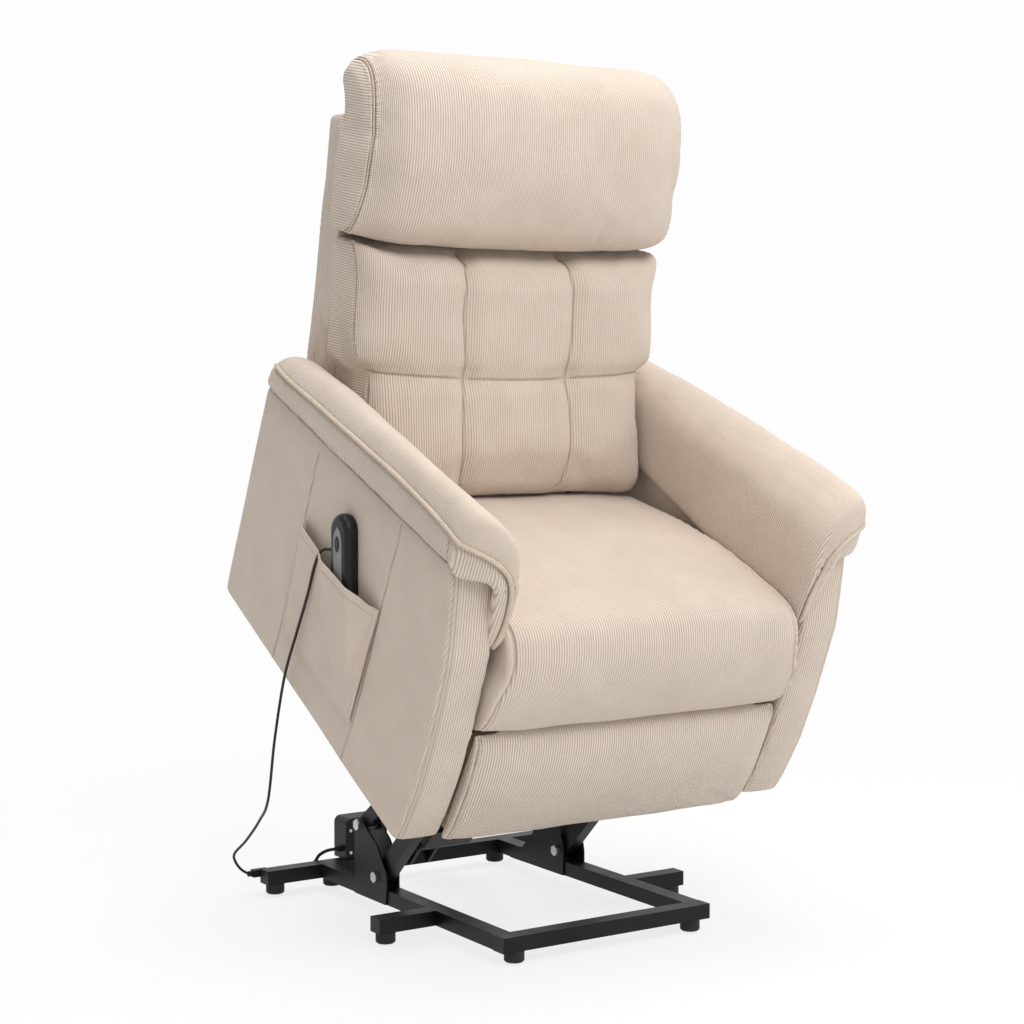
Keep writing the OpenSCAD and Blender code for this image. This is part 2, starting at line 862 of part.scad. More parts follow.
// Seat section: distance rearward and height above the springs
seat_outline = [[0, 0], [120, 0], [260, 0], [400, 0], [520, 0], [535, 13.5], [540, 36.5],
    [534, 59.5], [512, 78.5], [478, 90.5], [420, 109.5], [340, 132.5], [250, 153.5],
    [160, 165.5], [90, 171.5], [45, 173.5], [22, 170.5], [6, 162.5], [-6, 149.5], [-16, 132.5],
    [-23, 110.5], [-26, 81.5], [-24, 55.5], [-18, 31.5], [-9, 11.5]];
seat_tall = 173.5;

// Extra half width of the front lip, which fills the space between the panels under the pads
function lip_flare(p) = p[0] > 15 ? 0
    : seat_flare * min(1, max(0, (pad_skirt - 12 - seat_low - p[1]) / 14));

module seat_cushion() {
    rings = [for (t = stations(1, 20)) let (
            shrink = 1 - 0.05 * pow(abs(t), 9),
            crown = seat_crown * (1 - t * t) - 3 * bump(t, 0, 0.1))
        [for (p = seat_outline) let (lift = p[1] / seat_tall)
            [t * (seat_half + lip_flare(p)),
                seat_centre + (p[0] - seat_centre) * (0.3 + 0.7 * shrink),
                seat_low + p[1] * shrink + crown * lift
                - 9 * lift * bump(p[0], 250, 120) * (1 - pow(t, 4))]]];
    color(cloth_cream) on_chair() loft_straight_ends(rings);
}

// ---------- back ----------

module shell_outline() {
    polygon([[shell_rear + shell_spread - 6, shell_low], [shell_rear + shell_spread, shell_low + 8],
        [shell_rear, shell_top - 14],
        [shell_rear - 12, shell_top], [shell_front + 8, shell_top], [shell_front, shell_top - 8],
        [shell_front, shell_low + 25], [shell_front + 24, shell_low]]);
}

module back_shell() {
    color(cloth_cream) on_back() {
        plate(-shell_half_low, shell_half_low) shell_outline();
        plate(-shell_half_high, shell_half_high) intersection() {
            shell_outline();
            polygon([[shell_front - 1, shell_widens], [shell_front + 26, shell_widens],
                [shell_rear + 4, shell_widens - 98], [shell_rear + 40, shell_widens - 98],
                [shell_rear + 40, shell_top + 1], [shell_front - 1, shell_top + 1]]);
        }
    }
}

// Back cushion section: depth behind the front plane and height up the back
back_outline = [[352, 449], [378, 446], [430, 446], [480, 447], [495.7, 455], [495.7, 560],
    [495.7, 668], [495.7, 690], [495.7, 760], [495.7, 855], [480, 867], [445, 868], [425, 866],
    [408, 856], [397, 838], [388, 806], [380, 765], [373, 722], [369, 690], [368, 668],
    [371, back_seam_s], [363, 636], [352, 600], [343, 560], [337, 520], [333, 485], [335, 463]];
function back_half(s) = cushion_half_low + (cushion_half_high - cushion_half_low)
    * min(1, max(0, (s - 684) / 16));

module back_cushion() {
    rings = [for (t = stations(1, 26)) let (
            x = t * cushion_half_high,
            roll = 9 * pow(abs(t), 4) + 34 * pow(abs(t), 22),
            seams = seam_deep * (bump(abs(x), back_seam_x, 13)))
        [for (p = back_outline) let (front = min(1, max(0, (495.7 - p[0]) / 70)))
            [t * back_half(p[1]), p[0] + front * (roll + seams + 5 * bump(p[1], back_seam_s, 14)),
                p[1]]]];
    color(cloth_cream) on_back() loft_straight_ends(rings);
}

pillow_outline = [[405, 882], [440, 873], [480, 871], [495.7, 880], [495.7, 960], [495.7, 1056],
    [500, 1064], [522, 1066], [542, 1078], [548, 1100], [542, 1130], [522, 1156], [490, 1172],
    [455, 1178], [420, 1172], [392, 1157], [368, 1130], [353, 1090], [346, 1050], [344, 1010],
    [348, 965], [358, 930], [370, 906], [386, 891]];

module head_pillow() {
    centre = [470, 1020];
    rings = [for (t = stations(1, 24)) let (
            high_shrink = 1 - 0.24 * pow(abs(t), 12),
            low_shrink = 1 - 0.07 * pow(abs(t), 10),
            roll = 26 * pow(abs(t), 4))
        [for (p = pillow_outline) let (
                shrink = p[1] > centre[1] ? high_shrink : low_shrink,
                narrow = 1 - 0.11 * pow(max(0, p[0] - 490) / 58, 1.5),
                front = min(1, max(0, (shell_front - seat_gap - p[0]) / 90)))
            [t * pillow_half * narrow,
                min(p[0] <= 495.7 ? 495.7 : 560,
                    centre[0] + (p[0] - centre[0]) * (p[0] > 495 ? 1 : high_shrink)
                    + front * roll),
                centre[1] + (p[1] - centre[1]) * (p[0] > 495.7 ? 1 : shrink)]]];
    color(cloth_cream) on_back() loft(rings);
}

// Steel hinge webs at the foot of the back
module back_hinges() {
    web_in = side_out + 1;
    web_out = web_in + bar_thick;
    foot = turn(hinge_at, back_lean);
    color(steel_black) on_back() pair() {
        plate(web_in, web_out) union() {
            dot(foot, hinge_r);
            polygon([foot + [-hinge_r, 0], foot + [0, 0], [shell_front, shell_low + 26],
                [shell_front, 443], [shell_front - 14, 443]]);
        }
        box(web_in, web_in + 40, shell_front - 3, shell_front, shell_low + 26, 443);
        rod(foot, pin_r, side_in - 1, web_in + eps);
        rod(foot, pin_r + 3, side_in - 4, side_in - side_play);
    }
}

// ---------- footrest ----------

module foot_drive_arms() {
    color(steel_black) on_chair() pair() plate(layer_a, layer_a + bar_thick) difference() {
        bar(foot_f1, foot_p, foot_end_r, foot_bar_r);
        dot(foot_x, foot_pin_r + running_gap);
        dot(foot_p, foot_pin_r + running_gap);
    }
}

// Turning tube under the seat, with the crank of the recline motor
module drive_tube() {
    color(steel_black) on_chair() {
        difference() {
            rod(foot_f1, drive_tube_r, -layer_a, layer_a);
            rod(foot_f1, drive_tube_r - 2, -layer_a - 1, layer_a + 1);
        }
        translate([recline_x, 0, 0]) plate(-crank_half, crank_half) difference() {
            bar(foot_f1, crank_pin, drive_tube_r + 5, 9);
            dot(foot_f1, drive_tube_r - 1);
        }
        translate([recline_x, 0, 0])
            rod(crank_pin, 11, -recline_fork_clear + side_play, recline_fork_clear - side_play);
    }
}

module foot_support_arms() {
    color(steel_black) on_chair() pair() {
        plate(layer_b, layer_b + bar_thick) difference() {
            bar(foot_f2, foot_q, foot_end_r, foot_bar_r);
            dot(foot_q, foot_pin_r + 1.8);
        }
        rod(foot_f2, foot_pin_r, side_in - 3, layer_b + eps);
        rod(foot_f2, rivet_r, side_in - 4, side_in - side_play);
    }
}

module foot_swing_arms() {
    color(steel_black) on_chair() pair() {
        plate(layer_c, layer_c + bar_thick) bar(foot_q, foot_o1, foot_end_r, foot_bar_r);
        rod(foot_q, foot_pin_r, side_out + 0.3, layer_c + eps);
        rod(foot_x, foot_pin_r, layer_a - layer_air + 0.3, layer_c + eps);
        rod(foot_x, rivet_r, layer_a - rivet_thick - side_play, layer_a - side_play);
        rod(foot_x, rivet_r, layer_a + bar_thick + side_play, layer_c + eps);
        rod(foot_o1, foot_pin_r, layer_c, layer_flange + bar_thick + rivet_thick);
        rod(foot_o1, rivet_r, layer_c + bar_thick - eps, layer_flange - side_play);
        rod(foot_o1, rivet_r, layer_flange + bar_thick + side_play,
            layer_flange + bar_thick + side_play + rivet_thick);
    }
}

module foot_guide_arms() {
    color(steel_black) on_chair() pair() {
        plate(layer_d, layer_d + bar_thick) bar(foot_p, foot_o2, foot_end_r, foot_bar_r);
        rod(foot_p, foot_pin_r, layer_a - layer_air + 0.3, layer_d + eps);
        rod(foot_p, rivet_r, layer_a - rivet_thick - side_play, layer_a - side_play);
        rod(foot_o2, foot_pin_r, layer_d, layer_flange + bar_thick + rivet_thick);
        rod(foot_o2, foot_end_r, layer_flange + bar_thick + side_play,
            layer_flange + bar_thick + side_play + rivet_thick);
    }
}

module foot_board() {
    color(wood_pale) on_chair() box(-board_half, board_half, board_front, board_rear, 6, 190);
}

foot_outline = [[7.8, -9], [7.8, 70], [7.8, 130], [7.8, 195], [-2, 198], [-13, 191], [-20, 172],
    [-24, 145], [-26, 110], [-26, 78], [-23, 45], [-18, 12], [-9, -6]];

module foot_cushion() {
    rings = [for (t = stations(1, 20)) let (
            shrink = 1 - 0.3 * pow(abs(t), 16),
            puff = 4 * (1 - t * t))
        [for (p = foot_outline) let (front = (7.8 - p[0]) / 34)
            [t * foot_half, 7.8 - (7.8 - p[0]) * shrink - puff * front,
                100 + (p[1] - 100) * (0.85 + 0.15 * shrink)]]];
    color(cloth_cream) on_chair() loft(rings);
}

module foot_brackets() {
    color(steel_black) on_chair() pair() {
        box(layer_flange, board_half - 2, board_rear, board_rear + 3, 92, 184);
        plate(layer_flange, layer_flange + bar_thick) difference() {
            union() {
                polygon([[board_rear, 92], [60, 100], [74, 110], [74, 122], [46, 174], [34, 181],
                    [board_rear, 181]]);
                dot(foot_o1, foot_end_r);
                dot(foot_o2, foot_end_r);
            }
            dot(foot_o1, foot_pin_r + running_gap);
            dot(foot_o2, foot_pin_r + 2.8);
        }
    }
}

// ---------- pocket and handset ----------

pocket_front = 205;
pocket_rear = 478;
pocket_low = 81;
pocket_tall = 209;
pocket_cloth = 2.2;
pocket_edge = 26;
pocket_sag = 11;
pocket_air = 1.2;
pocket_columns = 26;
handset_room = handset_thick + 3.2;
handset_hug = handset_wide / 2 / cos(raised_tilt) + 3;

// Distance rearward of the handset's middle at a height in the chair frame
function handset_middle(w) = handset_at[0] + (w - handset_at[1]) * tan(raised_tilt);

// Stand-off of the pocket's cloth from the panel, at a distance rearward and a share up:
// a sagging mouth, pushed out over the handset from just below its foot
function pocket_off(u, v) = let (
        side = max(0, min(1, (u - pocket_front) / pocket_edge, (pocket_rear - u) / pocket_edge)),
        sag = sin(90 * side) * (2 + pocket_sag * sin(90 * v)),
        beside = abs(u - handset_middle(pocket_low + v * pocket_tall)) - handset_hug,
        rise = min(1, max(0, (v - 0.3) / 0.22)),
        hug = (beside < 0 ? 1 : exp(-pow(beside / 16, 2))) * rise)
    pocket_air + sag + max(0, handset_room - sag) * hug;

// Height of the mouth: it drops towards the rear, with a dip in its free part
function pocket_top(u) = pocket_low + pocket_tall + 3
    - (u - pocket_front - 13) / 20.4 - 6 * bump(u, 400, 60);

// Point of the pocket's cloth: its foot is drawn forward a little
function pocket_point(u, v, off) = let (lean = (u - 340) / 138)
    [-panel_outer - seat_gap - off, u - 14 * (1 - v) * (1 + lean * 0.4),
        pocket_low + v * (pocket_top(u) - pocket_low)];

module pocket() {
    heights = [0, 0.14, 0.34, 0.56, 0.78, 0.95, 1];
    last = len(heights) - 1;
    rings = [for (k = [0 : pocket_columns])
        let (u = pocket_front + (pocket_rear - pocket_front) * k / pocket_columns)
        concat(
            [for (v = heights) pocket_point(u, v, pocket_cloth + pocket_off(u, v))],
            [for (i = [last : -1 : 0])
                pocket_point(u, heights[i], i == 0 ? 0 : pocket_off(u, heights[i]))])];
    color(cloth_cream) on_chair() loft(rings);
}

module at_handset() {
    on_chair() translate([-handset_x, handset_at[0], handset_at[1]])
        rotate([-raised_tilt, 0, 0]) children();
}

module rocker_seat(up) {
    translate([-handset_thick - panel_proud, 0, up]) {
        rotate([0, 90, 0]) rotate([0, 0, 90]) linear_extrude(rocker_deep + panel_proud)
            rocker_lens(0.5);
        translate([rocker_deep + panel_proud, 0, 0]) rotate([90, 0, 0])
            cylinder(r = rocker_axle_r + running_gap, h = 9, center = true);
    }
}

// Lens drawn with its long way along the second axis
module rocker_lens(grow) {
    intersection() {
        translate([rocker_circle_off, 0]) circle(r = rocker_circle_r + grow);
        translate([-rocker_circle_off, 0]) circle(r = rocker_circle_r + grow);
    }
}

module handset_body() {
    half = handset_wide / 2;
    color(plastic_black) at_handset() difference() {
        intersection() {
            plate(-handset_thick, 0) union() {
                translate([0, handset_long - half]) circle(r = half);
                translate([-half, 8]) square([handset_wide, handset_long - half - 8]);
                translate([-half + 8, 0]) square([handset_wide - 16, 20]);
                translate([-half + 8, 8]) circle(r = 8);
                translate([half - 8, 8]) circle(r = 8);
            }
            linear_extrude(handset_long) union() {
                translate([-handset_thick, -half + handset_corner])
                    square([handset_thick, handset_wide - 2 * handset_corner]);
                translate([-handset_thick + handset_corner, -half])
                    square([handset_thick - 2 * handset_corner, handset_wide]);
                for (x = [-handset_thick + handset_corner, -handset_corner],
                        y = [-half + handset_corner, half - handset_corner])
                    translate([x, y]) circle(r = handset_corner);
            }
        }
        rocker_seat(lift_rocker_up);
        rocker_seat(recline_rocker_up);
    }
}

// Raised face with a pointed arch at its top
module handset_panel() {
    arch = 30;
    half = 13;
    color(handset_grey) at_handset() difference() {
        plate(-handset_thick - panel_proud, -handset_thick) union() {
            translate([-half, 24]) square([2 * half, 100]);
            intersection() {
                translate([half - arch, 124]) circle(r = arch);
                translate([arch - half, 124]) circle(r = arch);
                translate([-half, 124]) square([2 * half, arch]);
            }
        }
        rocker_seat(lift_rocker_up);
        rocker_seat(recline_rocker_up);
    }
}

module rocker(up) {
    key = rocker_deep - 1.4;
    color(plastic_black) at_handset() translate([-handset_thick, 0, up]) {
        translate([-panel_proud - 1.6, 0, 0]) rotate([0, 90, 0]) rotate([0, 0, 90])
            linear_extrude(key + panel_proud + 1.6) rocker_lens(0);
        translate([rocker_deep, 0, 0]) rotate([90, 0, 0])
            cylinder(r = rocker_axle_r, h = 8, center = true);
        box(key - eps, rocker_deep, -3, 3, -1, 1);
    }
}

module lift_rocker() {
    rocker(lift_rocker_up);
}

module recline_rocker() {
    rocker(recline_rocker_up);
}

base_rail_left();
base_rail_right();
base_front_tube();
base_rear_tube();
outrigger_left();
outrigger_right();
tube_end_caps();
feet();
bracket_outer_left();
bracket_outer_right();
bracket_inner_left();
bracket_inner_right();
base_pivot_bolts();
lift_motor_lugs();
control_box();
control_box_screws();
lead_gland();
control_lead();
cord_connector();
handset_cord();
lift_link_left();
lift_link_right();
lift_cross_tube();
rear_link_left();
rear_link_right();
lift_motor();
lift_rod();
side_plate_left();
side_plate_right();
cross_tubes();
lift_tube();
chair_pins();
arm_left();
arm_right();
arm_pad_left();
arm_pad_right();
seat_end_rails();
seat_side_rails();
seat_springs();
seat_cushion();
pocket();
handset_body();
handset_panel();
lift_rocker();
recline_rocker();
back_shell();
back_cushion();
head_pillow();
back_hinges();
foot_drive_arms();
drive_tube();
foot_support_arms();
foot_swing_arms();
foot_guide_arms();
foot_board();
foot_cushion();
foot_brackets();
recline_motor();
recline_rod();
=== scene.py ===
import math

import bmesh
import bpy
import numpy as np
from mathutils import Matrix, Vector, noise
from mathutils.bvhtree import BVHTree
from mathutils.kdtree import KDTree


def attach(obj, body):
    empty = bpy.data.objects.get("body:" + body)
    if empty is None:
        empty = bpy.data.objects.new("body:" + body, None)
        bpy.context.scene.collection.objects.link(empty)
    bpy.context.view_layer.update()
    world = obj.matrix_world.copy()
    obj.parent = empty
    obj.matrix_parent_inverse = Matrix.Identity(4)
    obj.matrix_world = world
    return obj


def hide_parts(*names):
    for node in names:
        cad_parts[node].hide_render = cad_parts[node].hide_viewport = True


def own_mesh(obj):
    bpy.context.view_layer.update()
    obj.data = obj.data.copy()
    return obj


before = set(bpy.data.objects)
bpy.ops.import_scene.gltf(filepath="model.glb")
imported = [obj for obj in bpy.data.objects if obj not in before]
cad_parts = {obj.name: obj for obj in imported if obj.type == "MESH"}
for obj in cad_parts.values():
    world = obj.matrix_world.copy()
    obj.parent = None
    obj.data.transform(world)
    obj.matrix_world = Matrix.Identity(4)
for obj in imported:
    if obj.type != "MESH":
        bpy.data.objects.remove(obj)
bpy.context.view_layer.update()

# ---------- places and frames (metres, degrees) ----------

TILT = 30.0  # the lifted chair tips forward by this
LEAN = 19.0  # the back leans back from the chair's upright by this
CHAIR_AT = (0.0, -0.276955, 0.209008)
CHAIR = Matrix.Translation(CHAIR_AT) @ Matrix.Rotation(math.radians(TILT), 4, "X")
BACK = CHAIR @ Matrix.Rotation(math.radians(-LEAN), 4, "X")
WORLD = Matrix.Identity(4)
MM = 0.001

# Half widths, from the chair's middle plane
PANEL_OUTER = 0.380
INNER_HALF = 0.300
PAD_INNER = 0.283
PAD_OUTER = 0.392
SEAT_HALF = 0.282
BACK_HALF = 0.279
PILLOW_HALF = 0.318
FOOT_HALF = 0.292

SEAT_LOW = 0.2085  # underside of the seat cushion
SHELL_FRONT = 0.4957  # where the cushions touch the back's shell
SHELL_FACE = 0.496  # the shell's own front face
WALE = 0.0044  # width of one rib of the corduroy
VOXEL = 0.006
CREASE = 0.0016  # width of the painted shade along a seam
FINE_NEAR = 0.010  # the mesh is finer within this distance of a seam
LINE_STEP = 0.003
SWELL_SHARE = 0.40  # share of the simulated movement that is kept

# ---------- camera ----------

CAM_TARGET = Vector((0.0177, 0.0, 0.6875))
CAM_AZ, CAM_EL, CAM_DIST = -33.04, 3.92, 3.7345
CAM_LENS, CAM_SENSOR, CAM_FAR = 76.1, 36, 60


def aim(obj, at, target):
    """Places a camera or lamp and points it at the target."""
    bpy.context.collection.objects.link(obj)
    obj.location = at
    obj.rotation_euler = (Vector(target) - obj.location).to_track_quat("-Z", "Y").to_euler()


def make_camera():
    az, el = math.radians(CAM_AZ), math.radians(CAM_EL)
    away = Vector((math.sin(az) * math.cos(el), -math.cos(az) * math.cos(el), math.sin(el)))
    cam = bpy.data.objects.new("camera", bpy.data.cameras.new("camera"))
    aim(cam, CAM_TARGET + away * CAM_DIST, CAM_TARGET)
    cam.data.lens = CAM_LENS
    cam.data.sensor_width = CAM_SENSOR
    cam.data.clip_end = CAM_FAR
    bpy.context.scene.camera = cam


# ---------- curve and mesh helpers ----------


def mm(*points):
    """Points in metres, from millimetres."""
    return [tuple(v / 1000 for v in p) for p in points]


def catmull(points, closed, per=14):
    """Dense points on a smooth curve through the given ones."""
    p = np.asarray(points, float)
    n = len(p)
    out = []
    for i in range(n if closed else n - 1):
        a, b, c, d = (p[k % n if closed else min(max(k, 0), n - 1)] for k in range(i - 1, i + 3))
        for t in np.arange(per) / per:
            out.append(0.5 * (2 * b + (c - a) * t + (2 * a - 5 * b + 4 * c - d) * t * t
                              + (3 * b - a - 3 * c + d) * t ** 3))
    if not closed:
        out.append(p[-1])
    return np.array(out)


def resample(points, count, closed):
    """The same line with evenly spaced points."""
    p = np.vstack([points, points[:1]]) if closed else np.asarray(points)
    run = np.concatenate([[0], np.cumsum(np.linalg.norm(np.diff(p, axis=0), axis=1))])
    at = np.linspace(0, run[-1], count + 1)[:-1] if closed else np.linspace(0, run[-1], count)
    return np.stack([np.interp(at, run, p[:, k]) for k in range(p.shape[1])], axis=1)


def smooth_line(points, step):
    dense = catmull(points, False)
    length = np.linalg.norm(np.diff(dense, axis=0), axis=1).sum()
    return resample(dense, max(8, int(length / step)), False)


def round_corners(points, radius, steps=5):
    """A closed polygon with its corners rounded."""
    p = np.asarray(points, float)
    n, out = len(p), []
    for i in range(n):
        a, b, c = p[i - 1], p[i], p[(i + 1) % n]
        ra = min(radius, 0.45 * np.linalg.norm(a - b))
        rc = min(radius, 0.45 * np.linalg.norm(c - b))
        start = b + (a - b) / np.linalg.norm(a - b) * ra
        end = b + (c - b) / np.linalg.norm(c - b) * rc
        for k in range(steps + 1):
            t = k / steps
            out.append((1 - t) ** 2 * start + 2 * t * (1 - t) * b + t * t * end)
    return np.array(out)


def stations(count):
    """Shares from -1 to 1, closer together at both ends."""
    return np.sin(np.linspace(-90, 90, count + 1) * math.pi / 180)


def bump(x, c, w):
    """1 at c, smooth to 0 within a few w."""
    return np.exp(-((x - c) / w) ** 2)


def lift(x, a, b):
    """0 below a, 1 above b, smooth between."""
    t = np.clip((x - a) / (b - a), 0, 1)
    return t * t * (3 - 2 * t)


def new_object(name, verts, faces, matrix):
    mesh = bpy.data.meshes.new(name)
    mesh.from_pydata([tuple(v) for v in verts], [], faces)
    mesh.update()
    obj = bpy.data.objects.new(name, mesh)
    bpy.context.collection.objects.link(obj)
    obj.matrix_world = matrix
    mesh.polygons.foreach_set("use_smooth", [True] * len(mesh.polygons))
    return obj


def grid_faces(n, m, closed):
    last = m if closed else m - 1
    return [(i * m + j, i * m + (j + 1) % m, (i + 1) * m + (j + 1) % m, (i + 1) * m + j)
            for i in range(n - 1) for j in range(last)]


def loft(name, rings, matrix, caps=6, puff=0.0):
    """Closed skin through rings of points, with domed ends."""
    rings = [np.asarray(r, float) for r in rings]
    along = rings[-1].mean(0) - rings[0].mean(0)
    along /= np.linalg.norm(along)
    first, last = rings[0], rings[-1]
    for k in range(1, caps):
        f = 1 - k / caps
        dome = puff * math.sqrt(1 - f * f)
        rings.insert(0, first.mean(0) + (first - first.mean(0)) * f - along * dome)
        rings.append(last.mean(0) + (last - last.mean(0)) * f + along * dome)
    n, m = len(rings), len(rings[0])
    ends = [(first.mean(0) - along * puff)[None], (last.mean(0) + along * puff)[None]]
    verts = np.vstack(rings + ends)
    faces = grid_faces(n, m, True)
    faces += [(n * m, (j + 1) % m, j) for j in range(m)]
    faces += [(n * m + 1, (n - 1) * m + j, (n - 1) * m + (j + 1) % m) for j in range(m)]
    return new_object(name, verts, faces, matrix)


def tube(name, points, radius, matrix, sides, taper=None):
    """Round tube along a line of points."""
    p = np.asarray(points, float)
    ahead = np.gradient(p, axis=0)
    ahead /= np.linalg.norm(ahead, axis=1)[:, None] + 1e-12
    side = np.cross(ahead[0], [0.31, 0.52, 0.79])
    verts = []
    for i, t in enumerate(ahead):
        side = side - t * side.dot(t)
        side /= np.linalg.norm(side)
        up = np.cross(t, side)
        r = radius if taper is None else taper[i]
        for k in range(sides):
            a = 2 * math.pi * k / sides
            verts.append(p[i] + r * (math.cos(a) * side + math.sin(a) * up))
    n = len(p)
    faces = grid_faces(n, sides, True)
    faces.append(tuple(reversed(range(sides))))
    faces.append(tuple((n - 1) * sides + k for k in range(sides)))
    return new_object(name, verts, faces, matrix)


def read(items, key, kind=None):
    """A vector for each of a mesh's items or, where its kind is given, a number."""
    values = np.empty(len(items) * (1 if kind else 3), kind or float)
    items.foreach_get(key, values)
    return values if kind else values.reshape(-1, 3)


def coords(obj):
    return read(obj.data.vertices, "co")


def normals(obj):
    obj.data.update()
    return read(obj.data.vertex_normals, "vector")


def set_coords(obj, co):
    obj.data.vertices.foreach_set("co", co.ravel())
    obj.data.update()


def bake(obj, kind, **settings):
    """Gives a piece a modifier and applies it."""
    modifier = obj.modifiers.new(kind.lower(), kind)
    for key, value in settings.items():
        setattr(modifier, key, value)
    bpy.context.view_layer.update()
    deps = bpy.context.evaluated_depsgraph_get()
    mesh = bpy.data.meshes.new_from_object(obj.evaluated_get(deps))
    old = obj.data
    obj.modifiers.clear()
    obj.data = mesh
    bpy.data.meshes.remove(old)
    mesh.polygons.foreach_set("use_smooth", [True] * len(mesh.polygons))


SWELL_START = 0.003  # the cloth starts this much smaller
SWELL_FRAMES = 20
CLOTH_SETTINGS = {"use_pressure": True, "uniform_pressure_force": 5.0, "quality": 6, "mass": 0.2,
                  "tension_stiffness": 12, "compression_stiffness": 12, "shear_stiffness": 8,
                  "bending_stiffness": 0.6, "vertex_group_mass": "held"}


def swell(obj, cap, held):
    """Cloth under pressure without gravity: each point moves by cap at most, the piece keeps its
    mean size, and a share of the movement stays. Points that held() picks are pinned."""
    want, out = coords(obj), normals(obj)
    start = want - out * SWELL_START
    set_coords(obj, start)
    free = ~held(want)
    group = obj.vertex_groups.new(name="held")
    group.add([int(i) for i in np.nonzero(~free)[0]], 1.0, "REPLACE")
    cloth_modifier = obj.modifiers.new("cloth", "CLOTH")
    for key, value in CLOTH_SETTINGS.items():
        setattr(cloth_modifier.settings, key, value)
    cloth_modifier.settings.effector_weights.gravity = 0
    cloth_modifier.point_cache.frame_start = 1
    cloth_modifier.point_cache.frame_end = SWELL_FRAMES
    scene = bpy.context.scene
    for f in range(1, SWELL_FRAMES + 1):
        scene.frame_set(f)
    moved = obj.evaluated_get(bpy.context.evaluated_depsgraph_get()).data
    step = read(moved.vertices, "co") - start
    obj.modifiers.clear()
    scene.frame_set(1)
    length = np.linalg.norm(step, axis=1)[:, None] + 1e-9
    now = start + step * np.minimum(1, cap / length)
    grown = ((now - want) * out).sum(1)[free].mean()
    set_coords(obj, want + SWELL_SHARE * (now - out * grown - want))


def refine(obj, lines):
    """Splits the mesh's edges beside sewn lines, so that the seams come out crisp."""
    co = coords(obj)
    near = np.zeros(len(co), bool)
    for line in lines:
        near |= line.near(co, FINE_NEAR)[0] < FINE_NEAR
    mesh = bmesh.new()
    mesh.from_mesh(obj.data)
    edges = [e for e in mesh.edges if near[e.verts[0].index] and near[e.verts[1].index]]
    bmesh.ops.subdivide_edges(mesh, edges=edges, cuts=1, use_grid_fill=True)
    for face in mesh.faces:
        face.smooth = True
    mesh.to_mesh(obj.data)
    mesh.free()


class Line:
    """A line on a surface: finds each vertex's distance from it and place along it."""

    def __init__(self, points):
        self.points = np.asarray(points, float)
        steps = np.linalg.norm(np.diff(self.points, axis=0), axis=1)
        self.run = np.concatenate([[0], np.cumsum(steps)])
        self.half = 0.6 * steps.mean()
        ahead = np.gradient(self.points, axis=0)
        self.ahead = ahead / np.linalg.norm(ahead, axis=1)[:, None]
        self.tree = KDTree(len(self.points))
        for i, p in enumerate(self.points):
            self.tree.insert(p, i)
        self.tree.balance()

    def near(self, co, reach):
        low, high = self.points.min(0) - reach, self.points.max(0) + reach
        some = np.nonzero(((co > low) & (co < high)).all(1))[0]
        dist, where = np.full(len(co), 9.0), np.zeros(len(co))
        k = np.array([self.tree.find(co[i])[1] for i in some], int)
        if len(k):
            off = co[some] - self.points[k]
            along = np.clip((off * self.ahead[k]).sum(1), -self.half, self.half)
            dist[some] = np.linalg.norm(off - along[:, None] * self.ahead[k], axis=1)
            where[some] = self.run[k] + along
        return dist, where


def store(mesh, name, domain, values):
    kept = mesh.attributes.get(name) or mesh.attributes.new(name, "FLOAT", domain)
    kept.data.foreach_set("value", values.astype(np.float32))


def mark(obj, dist):
    """Stores how near each point is to a seam; from it the cloth's material paints shade into the
    seam.
    """
    kept = obj.data.attributes.get("crease")
    near = read(kept.data, "value", np.float32) if kept else 0
    store(obj.data, "crease", "POINT", np.maximum(near, np.exp(-(dist / CREASE) ** 2)))


ROLL_AT = 0.006  # distance of a seam's raised lip from the seam


def sew(obj, lines, depth, width, pucker=0.0, reach=0.02, spacing=0.012, roll=0.0):
    """Draws seams in: a valley with puckers beside it and, with roll, a raised lip."""
    for line in lines:
        co, no = coords(obj), normals(obj)
        dist, where = line.near(co, max(3 * width, 2.2 * reach if pucker else 0, 2.5 * ROLL_AT))
        move = -depth * np.exp(-(dist / width) ** 2)
        if roll:
            move += roll * np.exp(-((dist - ROLL_AT) / (0.5 * ROLL_AT)) ** 2)
        if pucker:
            wave = np.sin(2 * math.pi * where / spacing + 3 * np.sin(where / 0.05))
            wave += 0.6 * np.sin(2 * math.pi * where / (0.57 * spacing) + 1.3)
            strength = 0.5 + 0.5 * np.sin(where / 0.037 + 1.0)
            fade = np.exp(-(dist / reach) ** 1.3)
            move += pucker * wave * strength * fade * (1 - np.exp(-(dist / 0.003) ** 2))
        set_coords(obj, co + no * move[:, None])
        mark(obj, dist)


def ripple(obj, amount, size, seed):
    """Slow unevenness of stuffed cloth."""
    co, no = coords(obj), normals(obj)
    move = np.array([noise.noise(Vector(v)) for v in co / size + seed * 7.31])
    set_coords(obj, co + no * (amount * move)[:, None])


def even(path, times):
    """Smooths an open line and keeps its ends."""
    path = path.copy()
    for _ in range(times):
        path[1:-1] = 0.25 * path[:-2] + 0.5 * path[1:-1] + 0.25 * path[2:]
    return path


class Skin:
    """An object's surface, for laying smooth lines on it, in the object's own frame."""

    def __init__(self, obj):
        self.tree = BVHTree.FromPolygons(coords(obj).tolist(),
                                         [tuple(p.vertices) for p in obj.data.polygons])

    def project(self, points, push=0.0):
        out = []
        for p in points:
            at, no, _, _ = self.tree.find_nearest(Vector(p))
            out.append(np.array(at) + np.array(no) * push)
        return np.array(out)

    def path(self, points, push=0.0):
        path = smooth_line(points, LINE_STEP)
        for times in (14, 6):
            path = even(self.project(path), times)
        if push:
            path = even(self.project(path, push), 5)
        return path

    def line(self, points):
        return Line(self.path(points))


